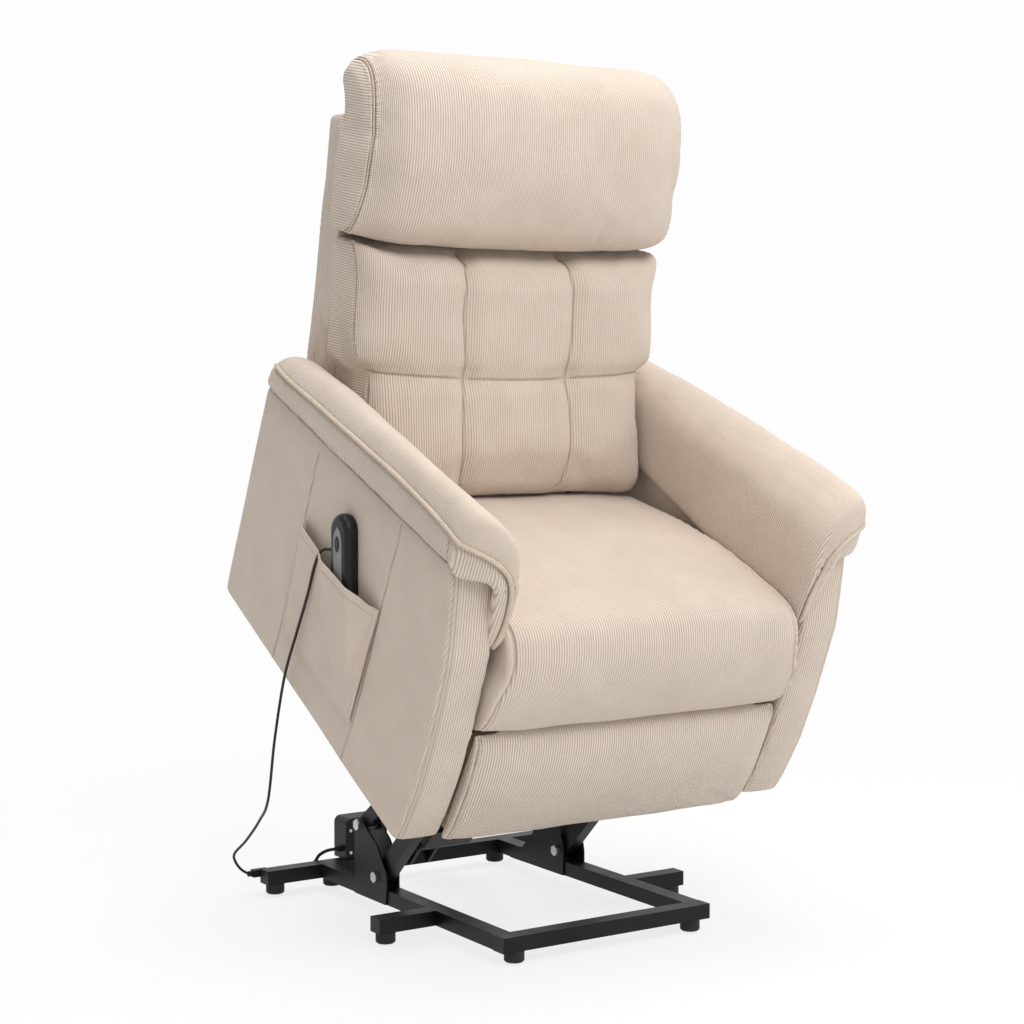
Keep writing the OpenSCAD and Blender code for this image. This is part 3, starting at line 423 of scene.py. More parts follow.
def flip(side, points):
    """The given points on one side of the chair: -1 is its right, 1 its left."""
    return [(side * x, y, z) for x, y, z in points]


def mirrored(skin, points):
    """The same line on both sides."""
    return [skin.line(flip(side, points)) for side in (-1, 1)]


def stuffed(name, rings, matrix, relaxed, uneven, voxel=VOXEL, swollen=None, shape=None, **ends):
    """An upholstered piece through the rings, with its Skin for the seams. swollen holds what
    swell needs, shape changes the fine mesh, uneven holds what ripple needs."""
    obj = loft(name, rings, matrix, **ends)
    bake(obj, "REMESH", mode="VOXEL", voxel_size=voxel)
    if swollen:
        swell(obj, *swollen)
    bake(obj, "SMOOTH", iterations=relaxed, factor=0.5)
    bake(obj, "SUBSURF", levels=1, render_levels=1)
    if shape:
        shape(obj)
    ripple(obj, *uneven)
    return obj, Skin(obj)


def relay(obj, lines):
    """Lays existing lines on the surface again after it has moved."""
    skin = Skin(obj)
    return [Line(even(skin.project(line.points), 4)) for line in lines]


def set_ribs(obj, rule):
    """Stores the way across the wales on each face corner, and how calm the wales are.
    rule takes the vertices, the faces' centres and how far each face looks sideways. It gives
    a list of coordinates over the vertices, the one that each face uses, and the calm over
    the vertices: 0 shows the wales fully, 1 hides them."""
    mesh = obj.data
    faces = mesh.polygons
    sideways = np.abs(read(faces, "normal")[:, 0])
    fields, which, calm = rule(coords(obj).T, read(faces, "center").T, sideways)
    which = np.repeat(np.asarray(which, int), read(faces, "loop_total", int))
    corners = read(mesh.loops, "vertex_index", int)
    store(mesh, "rib", "CORNER", np.stack(fields)[which, corners])
    store(mesh, "calm", "POINT", np.broadcast_to(calm, len(mesh.vertices)))


# ---------- materials ----------


class Nodes:
    """Small helper for building the node tree of a material or world."""

    def __init__(self, data, shader="Principled BSDF"):
        data.use_nodes = True
        self.data = data
        self.tree = data.node_tree
        self.shader = self.tree.nodes[shader]

    def add(self, kind, **inputs):
        node = self.tree.nodes.new(kind)
        for key, value in inputs.items():
            if key in node.inputs:
                self.put(node, key, value)
            else:
                setattr(node, key, value)
        return node

    def put(self, node, key, value):
        socket = node.inputs[key]
        if isinstance(value, bpy.types.NodeSocket):
            self.tree.links.new(value, socket)
        else:
            socket.default_value = value

    def put_all(self, node, *values):
        for k, value in enumerate(values):
            self.put(node, k, value)
        return node.outputs[0]

    def math(self, operation, *values):
        return self.put_all(self.add("ShaderNodeMath", operation=operation), *values)

    def range(self, value, low, high, to_low=0.0, to_high=1.0):
        return self.put_all(self.add("ShaderNodeMapRange"), value, low, high, to_low, to_high)

    def total(self, *terms):
        """Sum of share * (value - middle), from terms of value, share and, if not 0, middle."""
        out = None
        for value, share, *middle in terms:
            if middle:
                value = self.math("SUBTRACT", value, *middle)
            value = self.math("MULTIPLY", value, share)
            out = value if out is None else self.math("ADD", out, value)
        return out

    def stored(self, name):
        return self.add("ShaderNodeAttribute", attribute_name=name).outputs["Fac"]

    def where(self, stretch=None):
        at = self.add("ShaderNodeTexCoord").outputs["Object"]
        if stretch:
            at = self.add("ShaderNodeMapping", Vector=at, Scale=stretch).outputs["Vector"]
        return at

    def noise(self, scale, detail=3, stretch=None, roughness=0.5):
        node = self.add("ShaderNodeTexNoise", Scale=scale, Detail=detail, Roughness=roughness,
                        Vector=self.where(stretch))
        return node.outputs["Fac"]

    def mix(self, factor, a, b):
        node = self.add("ShaderNodeMix", data_type="RGBA")
        for key, value in ((0, factor), (6, a), (7, b)):
            self.put(node, key, (*value, 1.0) if isinstance(value, (tuple, list)) else value)
        return node.outputs[2]

    def bump(self, height, distance):
        return self.add("ShaderNodeBump", Height=height, Distance=distance).outputs["Normal"]

    def finish(self, color, roughness, normal=None, **uniform):
        self.put(self.shader, "Base Color", color)
        self.put(self.shader, "Roughness", roughness)
        if normal is not None:
            self.put(self.shader, "Normal", normal)
        for key, value in uniform.items():
            self.put(self.shader, key.replace("_", " "), value)
        return self.data


CLOTH_LIGHT = (0.735, 0.630, 0.537)
CLOTH_DARK = (0.385, 0.308, 0.242)
PIPING_LIGHT = (0.68, 0.58, 0.465)
PIPING_DARK = (0.48, 0.39, 0.30)
RIDGE_MEAN = 0.70  # mean height of the ribs, which the brushed places take
WALE_SWAY = 0.003  # how far the ribs wander sideways
SEAM_SHADE_SHARE = 0.42  # how strongly the painted shade darkens the cloth along a seam
SEAM_SHADE_TONE = 0.42  # the painted seam shade's colour, as a share of the dark cloth tone


def corduroy():
    """Fine-wale corduroy: rounded ribs across the stored coordinate, with brushed nap. The colour
    darkens from each rib's crown into its groove, which is painted shade; the fibre, nap and patch
    noises are the cloth's own random tone.
    """
    n = Nodes(bpy.data.materials.new("cream_corduroy"))
    rib = n.math("ADD", n.stored("rib"), n.total((n.noise(9, 2), WALE_SWAY, 0.5)))
    wave = n.math("SINE", n.math("MULTIPLY", rib, math.pi / WALE))
    ridge = n.math("POWER", n.math("ABSOLUTE", wave), 0.6)
    # calm evens the painted groove shade out towards the mean rib height
    shown = n.math("SUBTRACT", 1.0, n.stored("calm"))
    ridge = n.math("ADD", n.total((ridge, shown, RIDGE_MEAN)), RIDGE_MEAN)
    fibre = n.noise(1400, 2)
    nap = n.noise(16, 4, roughness=0.6)
    patch = n.noise(4.5, 3)
    tone = n.total((ridge, 0.75), (fibre, 0.18), (nap, 0.26, 0.5), (patch, 0.18, 0.5))
    # painted shade in the rib grooves (dark tone) and on the crowns (light tone), plus the cloth's
    # random tone
    color = n.mix(n.range(tone, 0.15, 0.95), CLOTH_DARK, CLOTH_LIGHT)
    # painted shade along the seams, strongest on the seam line
    shade = n.math("MULTIPLY", n.stored("crease"), SEAM_SHADE_SHARE)
    color = n.mix(shade, color, [SEAM_SHADE_TONE * c for c in CLOTH_DARK])
    height = n.math("ADD", ridge, n.math("MULTIPLY", fibre, 0.2))
    return n.finish(color, n.range(nap, 0.3, 0.7, 0.86, 0.97), n.bump(height, 0.0009),
                    Sheen_Weight=0.22, Sheen_Roughness=0.45, Sheen_Tint=(1.0, 0.98, 0.96, 1.0),
                    Specular_IOR_Level=0.2)


def piping_cloth():
    """Corduroy cut on the bias round a cord."""
    n = Nodes(bpy.data.materials.new("piping_cloth"))
    tone = n.total((n.noise(260), 0.5), (n.noise(14), 0.5))
    return n.finish(n.mix(n.range(tone, 0.3, 0.7), PIPING_DARK, PIPING_LIGHT), 0.9,
                    n.bump(n.noise(900, 2), 0.0004), Sheen_Weight=0.2, Sheen_Roughness=0.45,
                    Specular_IOR_Level=0.2)


def plain(name, stain, grain, tones, spread, rough, depth, worn=False, **uniform):
    """A hard material. A stain mixes two tones over its spread, a grain makes the surface, and
    the grain or (worn) the stain sets the roughness. Both are noises, given as n.noise takes
    them: scale, detail, stretch, roughness."""
    n = Nodes(bpy.data.materials.new(name))
    stain, grain = n.noise(*stain), n.noise(*grain)
    return n.finish(n.mix(n.range(stain, *spread), *tones),
                    n.range(stain if worn else grain, 0.3, 0.7, *rough), n.bump(grain, depth),
                    **uniform)


def moulded(name, base=(0.008, 0.008, 0.009), rough=0.5, grain=1600, depth=0.00006):
    """Black or grey moulded plastic with a fine spark-eroded grain and slightly worn places."""
    lighter = [min(1.0, 1.5 * c + 0.004) for c in base]
    return plain(name, (25, 4), (grain, 2), (base, lighter), (0.4, 0.75),
                 (rough - 0.06, rough + 0.08), depth, worn=True, Specular_IOR_Level=0.30)


def bright_metal(name, base=(0.62, 0.62, 0.60), rough=0.28):
    """Zinc plate or ground steel with fine turning marks."""
    return plain(name, (30, 4), (900, 3, (1, 8, 8)), (base, [0.72 * c for c in base]),
                 (0.35, 0.7), (rough, rough + 0.16), 0.00003, Metallic=1.0)


def paint(obj, material):
    obj.data.materials.clear()
    obj.data.materials.append(material)


def place(obj, material, body, node=None):
    """Gives a piece its material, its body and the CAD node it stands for."""
    paint(obj, material)
    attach(obj, body)
    if node:
        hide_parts(node)
    return obj


cloth = corduroy()
piping = piping_cloth()
# satin black powder coat: fine orange peel and light dust on it
steel = plain("powder_coat", (7, 5, None, 0.65), (700, 2),
              ((0.004, 0.004, 0.0045), (0.014, 0.014, 0.0145)), (0.35, 0.75), (0.34, 0.52),
              0.00008, worn=True, Specular_IOR_Level=0.22)
# bare ply: long grain along X. Its tones are darkened as painted shade, since the boards sit
# hidden inside the chair.
ply = plain("ply_darkened_as_shade", (60, 5, (0.12, 1.0, 1.0), 0.65), (700, 2, (0.05, 1.0, 1.0)),
            ((0.30, 0.21, 0.13), (0.44, 0.32, 0.20)), (0.35, 0.68), (0.55, 0.75), 0.0002,
            Specular_IOR_Level=0.3)
cord_rubber = plain("cord_rubber", (500, 2), (500, 2),
                    ((0.004, 0.004, 0.004), (0.010, 0.010, 0.010)), (0, 1), (0.42, 0.6), 0.00005,
                    Specular_IOR_Level=0.4)
zinc = bright_metal("zinc_plate")
ground = bright_metal("ground_rod", (0.70, 0.70, 0.71), 0.16)
black = moulded("black_plastic")
foot_rubber = moulded("foot_plastic", (0.012, 0.012, 0.013), 0.6, 900, 0.0001)
handset_black = moulded("handset_black", (0.007, 0.007, 0.008), 0.38, 2200, 0.00003)
handset_grey = moulded("handset_grey", (0.19, 0.20, 0.21), 0.42, 1800, 0.00003)


# ---------- stage ----------


FLOOR_PROFILE = [
    (-9.0, 0.0), (-3.0, 0.0), (3.0, 0.0), (5.0, 0.06), (6.6, 0.5), (7.6, 1.6), (8.0, 3.2),
    (8.0, 9.0)]
FLOOR_HALF = 14.0
FLOOR_GREY = (0.84, 0.84, 0.84), (0.86, 0.86, 0.86)
SHEET_WHITE = (0.985, 0.985, 0.985, 1.0)
SHADOW_NEAR, SHADOW_FAR, SHADOW_SHOWN = 1.1, 2.2, 0.80
WORLD_LEVEL = 0.60  # the world lights the object at this level
LAMPS = {  # place, aim, size, power
    "key": ((-0.5, -3.5, 3.9), (0.0, 0.0, 0.7), 2.4, 95),
    "fill": ((3.2, -2.0, 2.2), (0.0, 0.0, 0.6), 2.5, 36),
    "top": ((0.2, 0.2, 4.2), (0.0, 0.0, 0.6), 2.6, 85),
}


def make_stage():
    """One pale sheet: a floor that sweeps up into a backdrop. It looks white, and near the
    chair it shows some of the chair's shadow."""
    line = catmull(FLOOR_PROFILE, False, 10)
    turn = Matrix.Rotation(math.radians(CAM_AZ), 4, "Z")
    verts = [(x, y, z) for y, z in line for x in (-FLOOR_HALF, FLOOR_HALF)]
    floor = new_object("floor_sweep", verts, grid_faces(len(line), 2, False), turn)
    n = Nodes(bpy.data.materials.new("pale_floor"))
    n.finish(n.mix(n.noise(3, 2), *FLOOR_GREY), 0.85, Specular_IOR_Level=0.1)
    white = n.add("ShaderNodeEmission", Color=SHEET_WHITE, Strength=1.0)
    path = n.add("ShaderNodeLightPath").outputs
    bounced = n.math("MAXIMUM", path["Is Glossy Ray"], path["Is Transmission Ray"])
    seen = n.math("MAXIMUM", path["Is Camera Ray"], bounced)
    away = n.add("ShaderNodeVectorMath", operation="LENGTH")
    n.put(away, 0, n.where())
    share = n.range(away.outputs["Value"], SHADOW_NEAR, SHADOW_FAR, SHADOW_SHOWN, 1.0)
    both = n.put_all(n.add("ShaderNodeMixShader"), n.math("MULTIPLY", seen, share),
                     n.shader.outputs[0], white.outputs[0])
    n.put(n.tree.nodes["Material Output"], "Surface", both)
    paint(floor, n.data)


def make_lights():
    """Three lamps and a plain world, which the camera sees as white."""
    world = bpy.data.worlds.new("studio")
    bpy.context.scene.world = world
    n = Nodes(world, "Background")
    seen = n.add("ShaderNodeLightPath").outputs["Is Camera Ray"]
    n.put(n.shader, "Color", (1.0, 1.0, 1.0, 1.0))
    n.put(n.shader, "Strength", n.math("MULTIPLY_ADD", seen, 1.0 - WORLD_LEVEL, WORLD_LEVEL))
    for name, (at, target, size, power) in LAMPS.items():
        data = bpy.data.lights.new(name, "AREA")
        data.shape = "SQUARE"
        data.size = size
        data.energy = power
        aim(bpy.data.objects.new(name, data), at, target)


# ---------- handset cord ----------

HANDSET_X = 0.3803
HANDSET_THICK = 0.024
CORD_R = 0.0024
CORD_X = PANEL_OUTER + 0.0136 + CORD_R * 2.5
CORD_ROUTE = [
    (-HANDSET_X - HANDSET_THICK / 2, -0.1245, 0.650), (-0.394, -0.110, 0.650),
    (-CORD_X, -0.086, 0.646), (-CORD_X - 0.002, -0.066, 0.620), (-CORD_X - 0.002, -0.042, 0.572),
    (-CORD_X, 0.001, 0.506), (-CORD_X, 0.046, 0.427), (-0.396, 0.090, 0.317),
    (-0.384, 0.140, 0.206), (-0.367, 0.208, 0.156), (-0.360, 0.275, 0.108),
    (-0.361, 0.318, 0.078), (-0.356, 0.330, 0.062), (-0.347, 0.3255, 0.046),
    (-0.3333, 0.3242, 0.036),
]
LEAD_R = 0.003
LEAD_ROUTE = [
    (-0.2877, 0.3242, 0.034), (-0.270, 0.324, 0.032), (-0.235, 0.3235, 0.032),
    (-0.203, 0.324, 0.038), (-0.191, 0.3212, 0.052), (-0.181, 0.313, 0.060),
    (-0.169, 0.310, 0.062), (-0.1623, 0.310, 0.062),
]


def make_cords():
    path = catmull(CORD_ROUTE, False, 10)
    cord = tube("handset_lead", path, CORD_R, WORLD, 12)
    place(cord, cord_rubber, "base", "handset_cord")
    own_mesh(cord)
    lead = tube("box_lead", catmull(LEAD_ROUTE, False, 10), LEAD_R, WORLD, 12)
    place(lead, cord_rubber, "base", "control_lead")
    relief_path = smooth_line(CORD_ROUTE[:4], 0.002)[:11]
    ribs = [CORD_R + 0.0022 * (1 - k / 10) + (0.0004 if k % 2 else 0)
            for k in range(len(relief_path))]
    relief = tube("cord_relief", relief_path, CORD_R, WORLD, 16, ribs)
    place(relief, cord_rubber, "chair")


# ---------- soft parts: sections, in millimetres as (depth, height) ----------

SEAT_LINE = [
    (30, 206.5), (120, 208.5), (260, 208.5), (400, 208.5), (520, 208.5), (535, 222), (540, 245),
    (534, 268), (512, 287), (478, 299), (420, 318), (340, 341), (250, 362), (160, 374),
    (90, 380), (45, 382), (22, 379), (6, 371), (-6, 358), (-16, 341), (-23, 319), (-26, 290),
    (-25.5, 262), (-22, 236), (-14, 214), (-3, 203), (12, 201.5), (24, 203)]
BACK_LINE = [
    (350, 442), (378, 438), (430, 438), (480, 440), (495.7, 452), (495.7, 560), (495.7, 668),
    (495.7, 760), (495.7, 855), (480, 867), (445, 868.5), (420, 868.5), (401, 866), (388, 853),
    (383, 815), (379, 765), (373, 722), (368, 686), (364.5, 652), (360, 625), (352, 592),
    (343, 555), (337, 520), (333, 485), (335, 463)]
PILLOW_LINE = [
    (400, 873), (440, 871), (480, 871), (495.7, 880), (495.7, 960), (495.7, 1056), (500, 1064),
    (522, 1066), (542, 1078), (548, 1100), (542, 1130), (522, 1156), (490, 1172), (455, 1178),
    (420, 1172), (392, 1157), (368, 1130), (353, 1090), (346, 1050), (344, 1010), (347, 965),
    (352, 928), (359, 900), (375, 881)]
FOOT_LINE = [
    (7.8, -9), (7.8, 70), (7.8, 130), (7.8, 195), (-2, 198), (-13, 191), (-20, 172), (-24, 145),
    (-26, 110), (-26, 78), (-23, 45), (-18, 12), (-9, -6)]


def rounded(line, count):
    return resample(catmull(np.array(line) * MM, True, 8), count, True)


def dress(obj, body, node, rule):
    """Gives a soft piece its wales and cloth, its body and the CAD node it stands for."""
    set_ribs(obj, rule)
    place(obj, cloth, body, node)


def trim(name, points, radius, matrix, body):
    place(tube(name, points, radius, matrix, 10), piping, body)


def seat_flare(u, w):
    """Extra half width of the front lip, which fills the space between the panels."""
    return 0.015 * (1 - lift(u, 0.030, 0.085)) * (1 - lift(w, 0.262, 0.334))


def seat_seam(u, w):
    """Half width at which the cushion's sides are sewn on."""
    return SEAT_HALF - 0.009 + seat_flare(u, w)


SEAT_MID = 0.26
SEAT_RISE = 0.1735
LIP_DEEP, LIP_LOW = 0.030, 0.2005


def make_seat():
    line = rounded(SEAT_LINE, 160)
    deep, high = line.T
    rise = (high - SEAT_LOW) / SEAT_RISE
    flare = seat_flare(deep, high)
    rings = []
    for t in stations(46):
        shrink = 1 - 0.05 * abs(t) ** 9
        crown = 0.013 * (1 - t * t) - 0.003 * bump(t, 0, 0.1)
        dish = 0.009 * bump(deep, 0.25, 0.12) * (1 - t ** 4)
        u = SEAT_MID + (deep - SEAT_MID) * (0.3 + 0.7 * shrink)
        w = SEAT_LOW + (high - SEAT_LOW) * shrink + np.maximum(rise, 0) * (crown - dish)
        rings.append(np.stack([t * (SEAT_HALF + flare), u, w], axis=1))

    def held(co):
        return (co[:, 2] < SEAT_LOW + 0.004) | (np.abs(co[:, 0]) > SEAT_HALF - 0.002)
    obj, skin = stuffed("seat_pad", rings, CHAIR, 3, (0.0022, 0.09, 1), swollen=(0.022, held))
    edge = resample(catmull(np.array(SEAT_LINE[8:-2]) * MM, False, 8), 40, False)
    sides = mirrored(skin, [(seat_seam(u, w), u, w) for u, w in edge])
    refine(obj, sides)
    sew(obj, sides, 0.0032, 0.0030, pucker=0.0003, reach=0.012, roll=0.0008)
    co = coords(obj)
    x, u, w = co.T
    behind = SEAT_LOW - 0.002 * (1 - lift(u, LIP_DEEP, 0.060))
    w[:] = np.maximum(w, np.where(u < LIP_DEEP, LIP_LOW, behind))
    half = SEAT_HALF + 0.0006 + seat_flare(u - 0.010, w - 0.010)
    x[:] = np.clip(x, -half, half)
    set_coords(obj, co)

    def rule(at, centre, sideways):
        """The wales fade towards the rear and on the cushion's sides."""
        x, u, w = at
        boxing = np.abs(centre[0]) > seat_seam(*centre[1:])
        calm = -0.35 + 1.10 * lift(u, 0.05, 0.26)
        past = lift(np.abs(x) - seat_seam(u, w), -0.003, 0.003)
        return [x, u], boxing, np.maximum(calm, 0.75 * past)
    dress(obj, "chair", "seat_cushion", rule)


def across_roll(at, line):
    """Distance across the wales: along x, then round the roll at each end of a cushion."""
    x, r, s = at
    line_s, line_r = np.array(sorted((s, r) for r, s in line)).T * MM
    behind = np.maximum(0, r - np.interp(s, line_s, line_r))
    return x + np.sign(x) * 0.7 * behind * lift(np.abs(x), 0.25, 0.30)


SIDE_SEAM = ([0.462, 0.520, 0.590, 0.655, 0.690, 0.720, 0.790, 0.845, 0.864],
             [0.372, 0.378, 0.388, 0.398, 0.405, 0.412, 0.418, 0.424, 0.440])


BACK_LOW, BACK_TOP = 0.4385, 0.8685
HELD_R = 0.490  # a cushion is held to the shell from here
COLUMN_X, CROSS_S = 0.103, 0.652  # the upright seams and the cross seam
COLUMN = [(0.101, 0.430, 0.866), (COLUMN_X, 0.402, 0.850), (0.109, 0.384, 0.790),
          (0.109, 0.376, 0.730), (COLUMN_X, 0.368, 0.655), (0.109, 0.350, 0.590),
          (0.109, 0.338, 0.520), (0.102, 0.340, 0.452)]


def back_half(s):
    return BACK_HALF + 0.027 * lift(s, 0.640, 0.686)


def make_back():
    line = rounded(BACK_LINE, 150)
    deep, high = line.T
    front = np.clip((SHELL_FRONT - deep) / 0.07, 0, 1)
    rings = []
    for t in stations(52):
        roll = 0.006 * abs(t) ** 4 + 0.017 * abs(t) ** 24
        dip = 0.013 * (1 - t * t) * lift(high, 0.780, 0.868) * lift(front, 0.75, 1.0)
        rings.append(np.stack([t * back_half(high), deep + front * roll, high - dip], axis=1))
    obj, skin = stuffed("back_pad", rings, BACK, 3, (0.0026, 0.085, 2),
                        swollen=(0.024, lambda co: co[:, 1] > HELD_R))
    columns = mirrored(skin, COLUMN)
    edges = mirrored(skin, [(back_half(s), r, s) for s, r in zip(*SIDE_SEAM)])
    across = skin.line([(x, 0.366 + 0.03 * abs(x / BACK_HALF) ** 12,
                         CROSS_S - 0.004 * math.cos(x * 12))
                        for x in np.linspace(-BACK_HALF, BACK_HALF, 24)])
    refine(obj, columns + edges + [across])
    sew(obj, columns, 0.0075, 0.017)
    sew(obj, [across], 0.0050, 0.017)
    co, no = coords(obj), normals(obj)
    x, r, s = co.T
    for side in (-1, 1):
        far = (x - side * COLUMN_X) ** 2 + (s - CROSS_S) ** 2
        co -= no * (0.0065 * np.exp(-far / 0.026 ** 2) * (r < 0.45))[:, None]
    set_coords(obj, co)
    *columns, across = relay(obj, columns + [across])
    sew(obj, columns, 0.0034, 0.0024, pucker=0.0003, reach=0.016)
    sew(obj, [across], 0.0030, 0.0022, pucker=0.0004, reach=0.014)
    sew(obj, edges, 0.0030, 0.0030, pucker=0.0007, reach=0.014, roll=0.0014)
    co = coords(obj)
    x, r, s = co.T
    r[:] = np.minimum(r, SHELL_FRONT)
    half = back_half(s) + 0.001
    x[:] = np.clip(x, -half, half)
    s[:] = np.clip(s, BACK_LOW, BACK_TOP)
    set_coords(obj, co)

    def rule(at, centre, sideways):
        boxing = (sideways > 0.60) & (centre[1] > np.interp(centre[2], *SIDE_SEAM))
        calm = 0.25 * lift(at[0], -0.22, -0.05)
        return [across_roll(at, BACK_LINE[12:]), at[2]], boxing, calm
    dress(obj, "back", "back_cushion", rule)


PILLOW_R, PILLOW_S = 0.470, 1.020  # the middle it narrows towards at its ends
PILLOW_LOW = 0.8695
LOBE_S = 1.062  # the lobe over the shell begins here
PILLOW_SEAM = mm(
    (306, 458, 874), (313, 418, 895), (316, 396, 940), (317, 384, 1010), (315, 388, 1080),
    (309, 405, 1125), (300, 440, 1150), (293, 490, 1140), (286, 520, 1110))
RISING = 7  # so many of the seam's points lie one above the other


def make_pillow():
    line = rounded(PILLOW_LINE, 150)
    deep, high = line.T
    behind = deep > SHELL_FRONT - 0.0002
    lobe = behind & (high > LOBE_S)
    front = np.clip((SHELL_FRONT - deep) / 0.09, 0, 1)
    narrow = 1 - 0.11 * (np.maximum(0, deep - HELD_R) / 0.058) ** 1.5
    rings = []
    for t in stations(46):
        top = 1 - 0.24 * abs(t) ** 12
        shrink = np.where(high > PILLOW_S, top, 1 - 0.07 * abs(t) ** 10)
        r = PILLOW_R + (deep - PILLOW_R) * top + front * 0.026 * t ** 4
        r = np.where(behind, deep, np.minimum(r, SHELL_FRONT))
        r = np.where(lobe, SHELL_FRONT + (r - SHELL_FRONT) * (1 - 0.6 * abs(t) ** 9), r)
        dip = 0.012 * (1 - t * t) * front * (1 - lift(high, 0.872, 0.960))
        s = np.where(behind, high, PILLOW_S + (high - PILLOW_S) * shrink - dip)
        s = np.where(lobe, LOBE_S + (s - LOBE_S) * (1 - 0.38 * abs(t) ** 10), s)
        rings.append(np.stack([t * PILLOW_HALF * narrow, r, s], axis=1))
    obj, skin = stuffed("head_pad", rings, BACK, 3, (0.0026, 0.11, 3), puff=0.003,
                        swollen=(0.024, lambda co: (co[:, 1] > HELD_R) & (co[:, 2] < 1.07)))
    lines = mirrored(skin, PILLOW_SEAM)
    refine(obj, lines)
    for side, name, seam in ((-1, "right", lines[0]), (1, "left", lines[1])):
        sew(obj, [seam], 0.0030, 0.0030, pucker=0.0008, reach=0.014, roll=0.0014)
        path = skin.path(flip(side, PILLOW_SEAM), 0.0002)
        trim("head_seam_" + name, path, 0.0015, BACK, "back")
    co = coords(obj)
    x, r, s = co.T
    near = s < LOBE_S - 0.0005
    r[near] = np.minimum(r[near], SHELL_FRONT)
    x[:] = np.clip(x, -PILLOW_HALF - 0.004, PILLOW_HALF + 0.004)
    inward = np.clip(1 - (x / PILLOW_HALF) ** 2, 0, 1)
    s[:] = np.maximum(s, PILLOW_LOW - 0.0125 * inward * lift(0.46 - r, 0.0, 0.03))
    set_coords(obj, co)

    def rule(at, centre, sideways):
        _, seam_r, seam_s = np.array(PILLOW_SEAM[:RISING]).T
        boxing = (sideways > 0.35) & (centre[1] > np.interp(centre[2], seam_s, seam_r))
        calm = 0.3 * lift(at[0], -0.22, -0.05)
        boxing &= np.abs(centre[0]) > 0.24
        return [across_roll(at, PILLOW_LINE[14:]), at[2]], boxing, calm
    dress(obj, "back", "head_pillow", rule)


FOOT_REAR, FOOT_MID = 0.0078, 0.100
FOOT_SEAM = mm(
    (8, 0, 0), (6, -10, 22), (5, -15, 70), (5, -15, 120), (6, -10, 168), (8, -1, 190))


def make_footrest():
    line = rounded(FOOT_LINE, 100)
    deep, high = line.T
    front = (FOOT_REAR - deep) / 0.034
    rings = []
    for t in stations(40):
        shrink = 1 - 0.3 * abs(t) ** 16
        u = FOOT_REAR - (FOOT_REAR - deep) * shrink - 0.004 * (1 - t * t) * front
        w = FOOT_MID + (high - FOOT_MID) * (0.85 + 0.15 * shrink)
        rings.append(np.stack([np.full(len(line), t * FOOT_HALF), u, w], axis=1))
    obj, skin = stuffed("foot_pad", rings, CHAIR, 2, (0.0018, 0.09, 4), voxel=0.005,
                        swollen=(0.010, lambda co: co[:, 1] > 0.004))
    edges = mirrored(skin, [(FOOT_HALF - inside, u, w) for inside, u, w in FOOT_SEAM])
    refine(obj, edges)
    sew(obj, edges, 0.0022, 0.0028, pucker=0.0004, reach=0.012, roll=0.0010)
    co = coords(obj)
    co[:, 1] = np.minimum(co[:, 1], FOOT_REAR)
    set_coords(obj, co)

    def rule(at, centre, sideways):
        return [at[0], at[2]], sideways > 0.74, -0.25
    dress(obj, "footrest", "foot_cushion", rule)


SHELL_LINE = [
    (0.5716, 0.389), (0.5786, 0.398), (0.5566, 1.054), (0.5486, 1.0618), (0.504, 1.0618),
    (0.496, 1.052), (0.496, 0.415), (0.52, 0.389)]


SHELL_MID = (0.523, 0.72)
SHELL_TOP_REAR = 0.5566
SHELL_SPANS = (-1, -0.94, 7), (-0.9, 0.9, 31), (0.94, 1, 7)
SHELL_SEAM = mm((273, 402), (273, 500), (274, 590), (292, 640), (294, 850), (294, 1050))


def shell_rear(s):
    return SHELL_TOP_REAR + 0.022 * (1.054 - s) / 0.656


def make_shell():
    line = resample(round_corners(SHELL_LINE, 0.007), 160, True)
    wide = 0.278 + 0.021 * lift(line[:, 1] + (line[:, 0] - SHELL_FACE) * 1.25, 0.682, 0.696)
    way = SHELL_MID - line
    way /= np.linalg.norm(way, axis=1)[:, None] + 1e-9
    rings = []
    for x in np.concatenate([np.linspace(*span) for span in SHELL_SPANS]):
        r, s = (line + way * 0.006 * max(0, (abs(x) - 0.96) / 0.04) ** 2).T
        rings.append(np.stack([x * wide, r - np.where(r > 0.54, 0.0008 + 0.0012 * x * x, 0), s],
                              axis=1))
    obj, skin = stuffed("back_cover", rings, BACK, 2, (0.0014, 0.14, 5), caps=8)
    seams = mirrored(skin, [(x, shell_rear(s), s) for x, s in SHELL_SEAM])
    seams.append(skin.line([(x, 0.5560, 1.052) for x in np.linspace(-0.290, 0.290, 9)]))
    refine(obj, seams)
    sew(obj, seams, 0.0025, 0.0028, pucker=0.0004, reach=0.012, roll=0.0012)
    co = coords(obj)
    co[:, 1] = np.clip(co[:, 1], SHELL_FACE, shell_rear(co[:, 2]) + 0.0006)
    set_coords(obj, co)

    def rule(at, centre, sideways):
        return [at[0], at[1]], sideways > 0.7, 0.15
    dress(obj, "back", "back_shell", rule)


ARM_LINE = mm(
    (4, 0), (672, 0), (678, 5), (712, 392), (708, 398.5), (74, 470), (62, 462), (48, 430),
    (15, 340), (-3, 216), (-10, 120), (-6, 40), (-1, 4))
ARM_SEAMS = [[(0.497, 0.394), (0.486, 0.282), (0.474, 0.150), (0.468, 0.082), (0.470, 0.012)],
             [(0.218, 0.440), (0.208, 0.298), (0.200, 0.180), (0.194, 0.081), (0.196, 0.012)]]
ARM_FRONT = mm(
    (72, 466), (58, 452), (44, 412), (14, 330), (-3, 216), (-10, 120), (-6, 40), (0, 8))
ARM_TOP = mm((700, 397), (400, 430), (90, 466))
ARM_REAR = mm((707, 385), (694, 200), (680, 12))
ARM_MID = (0.35, 0.22)
ARM_EDGE = 0.010


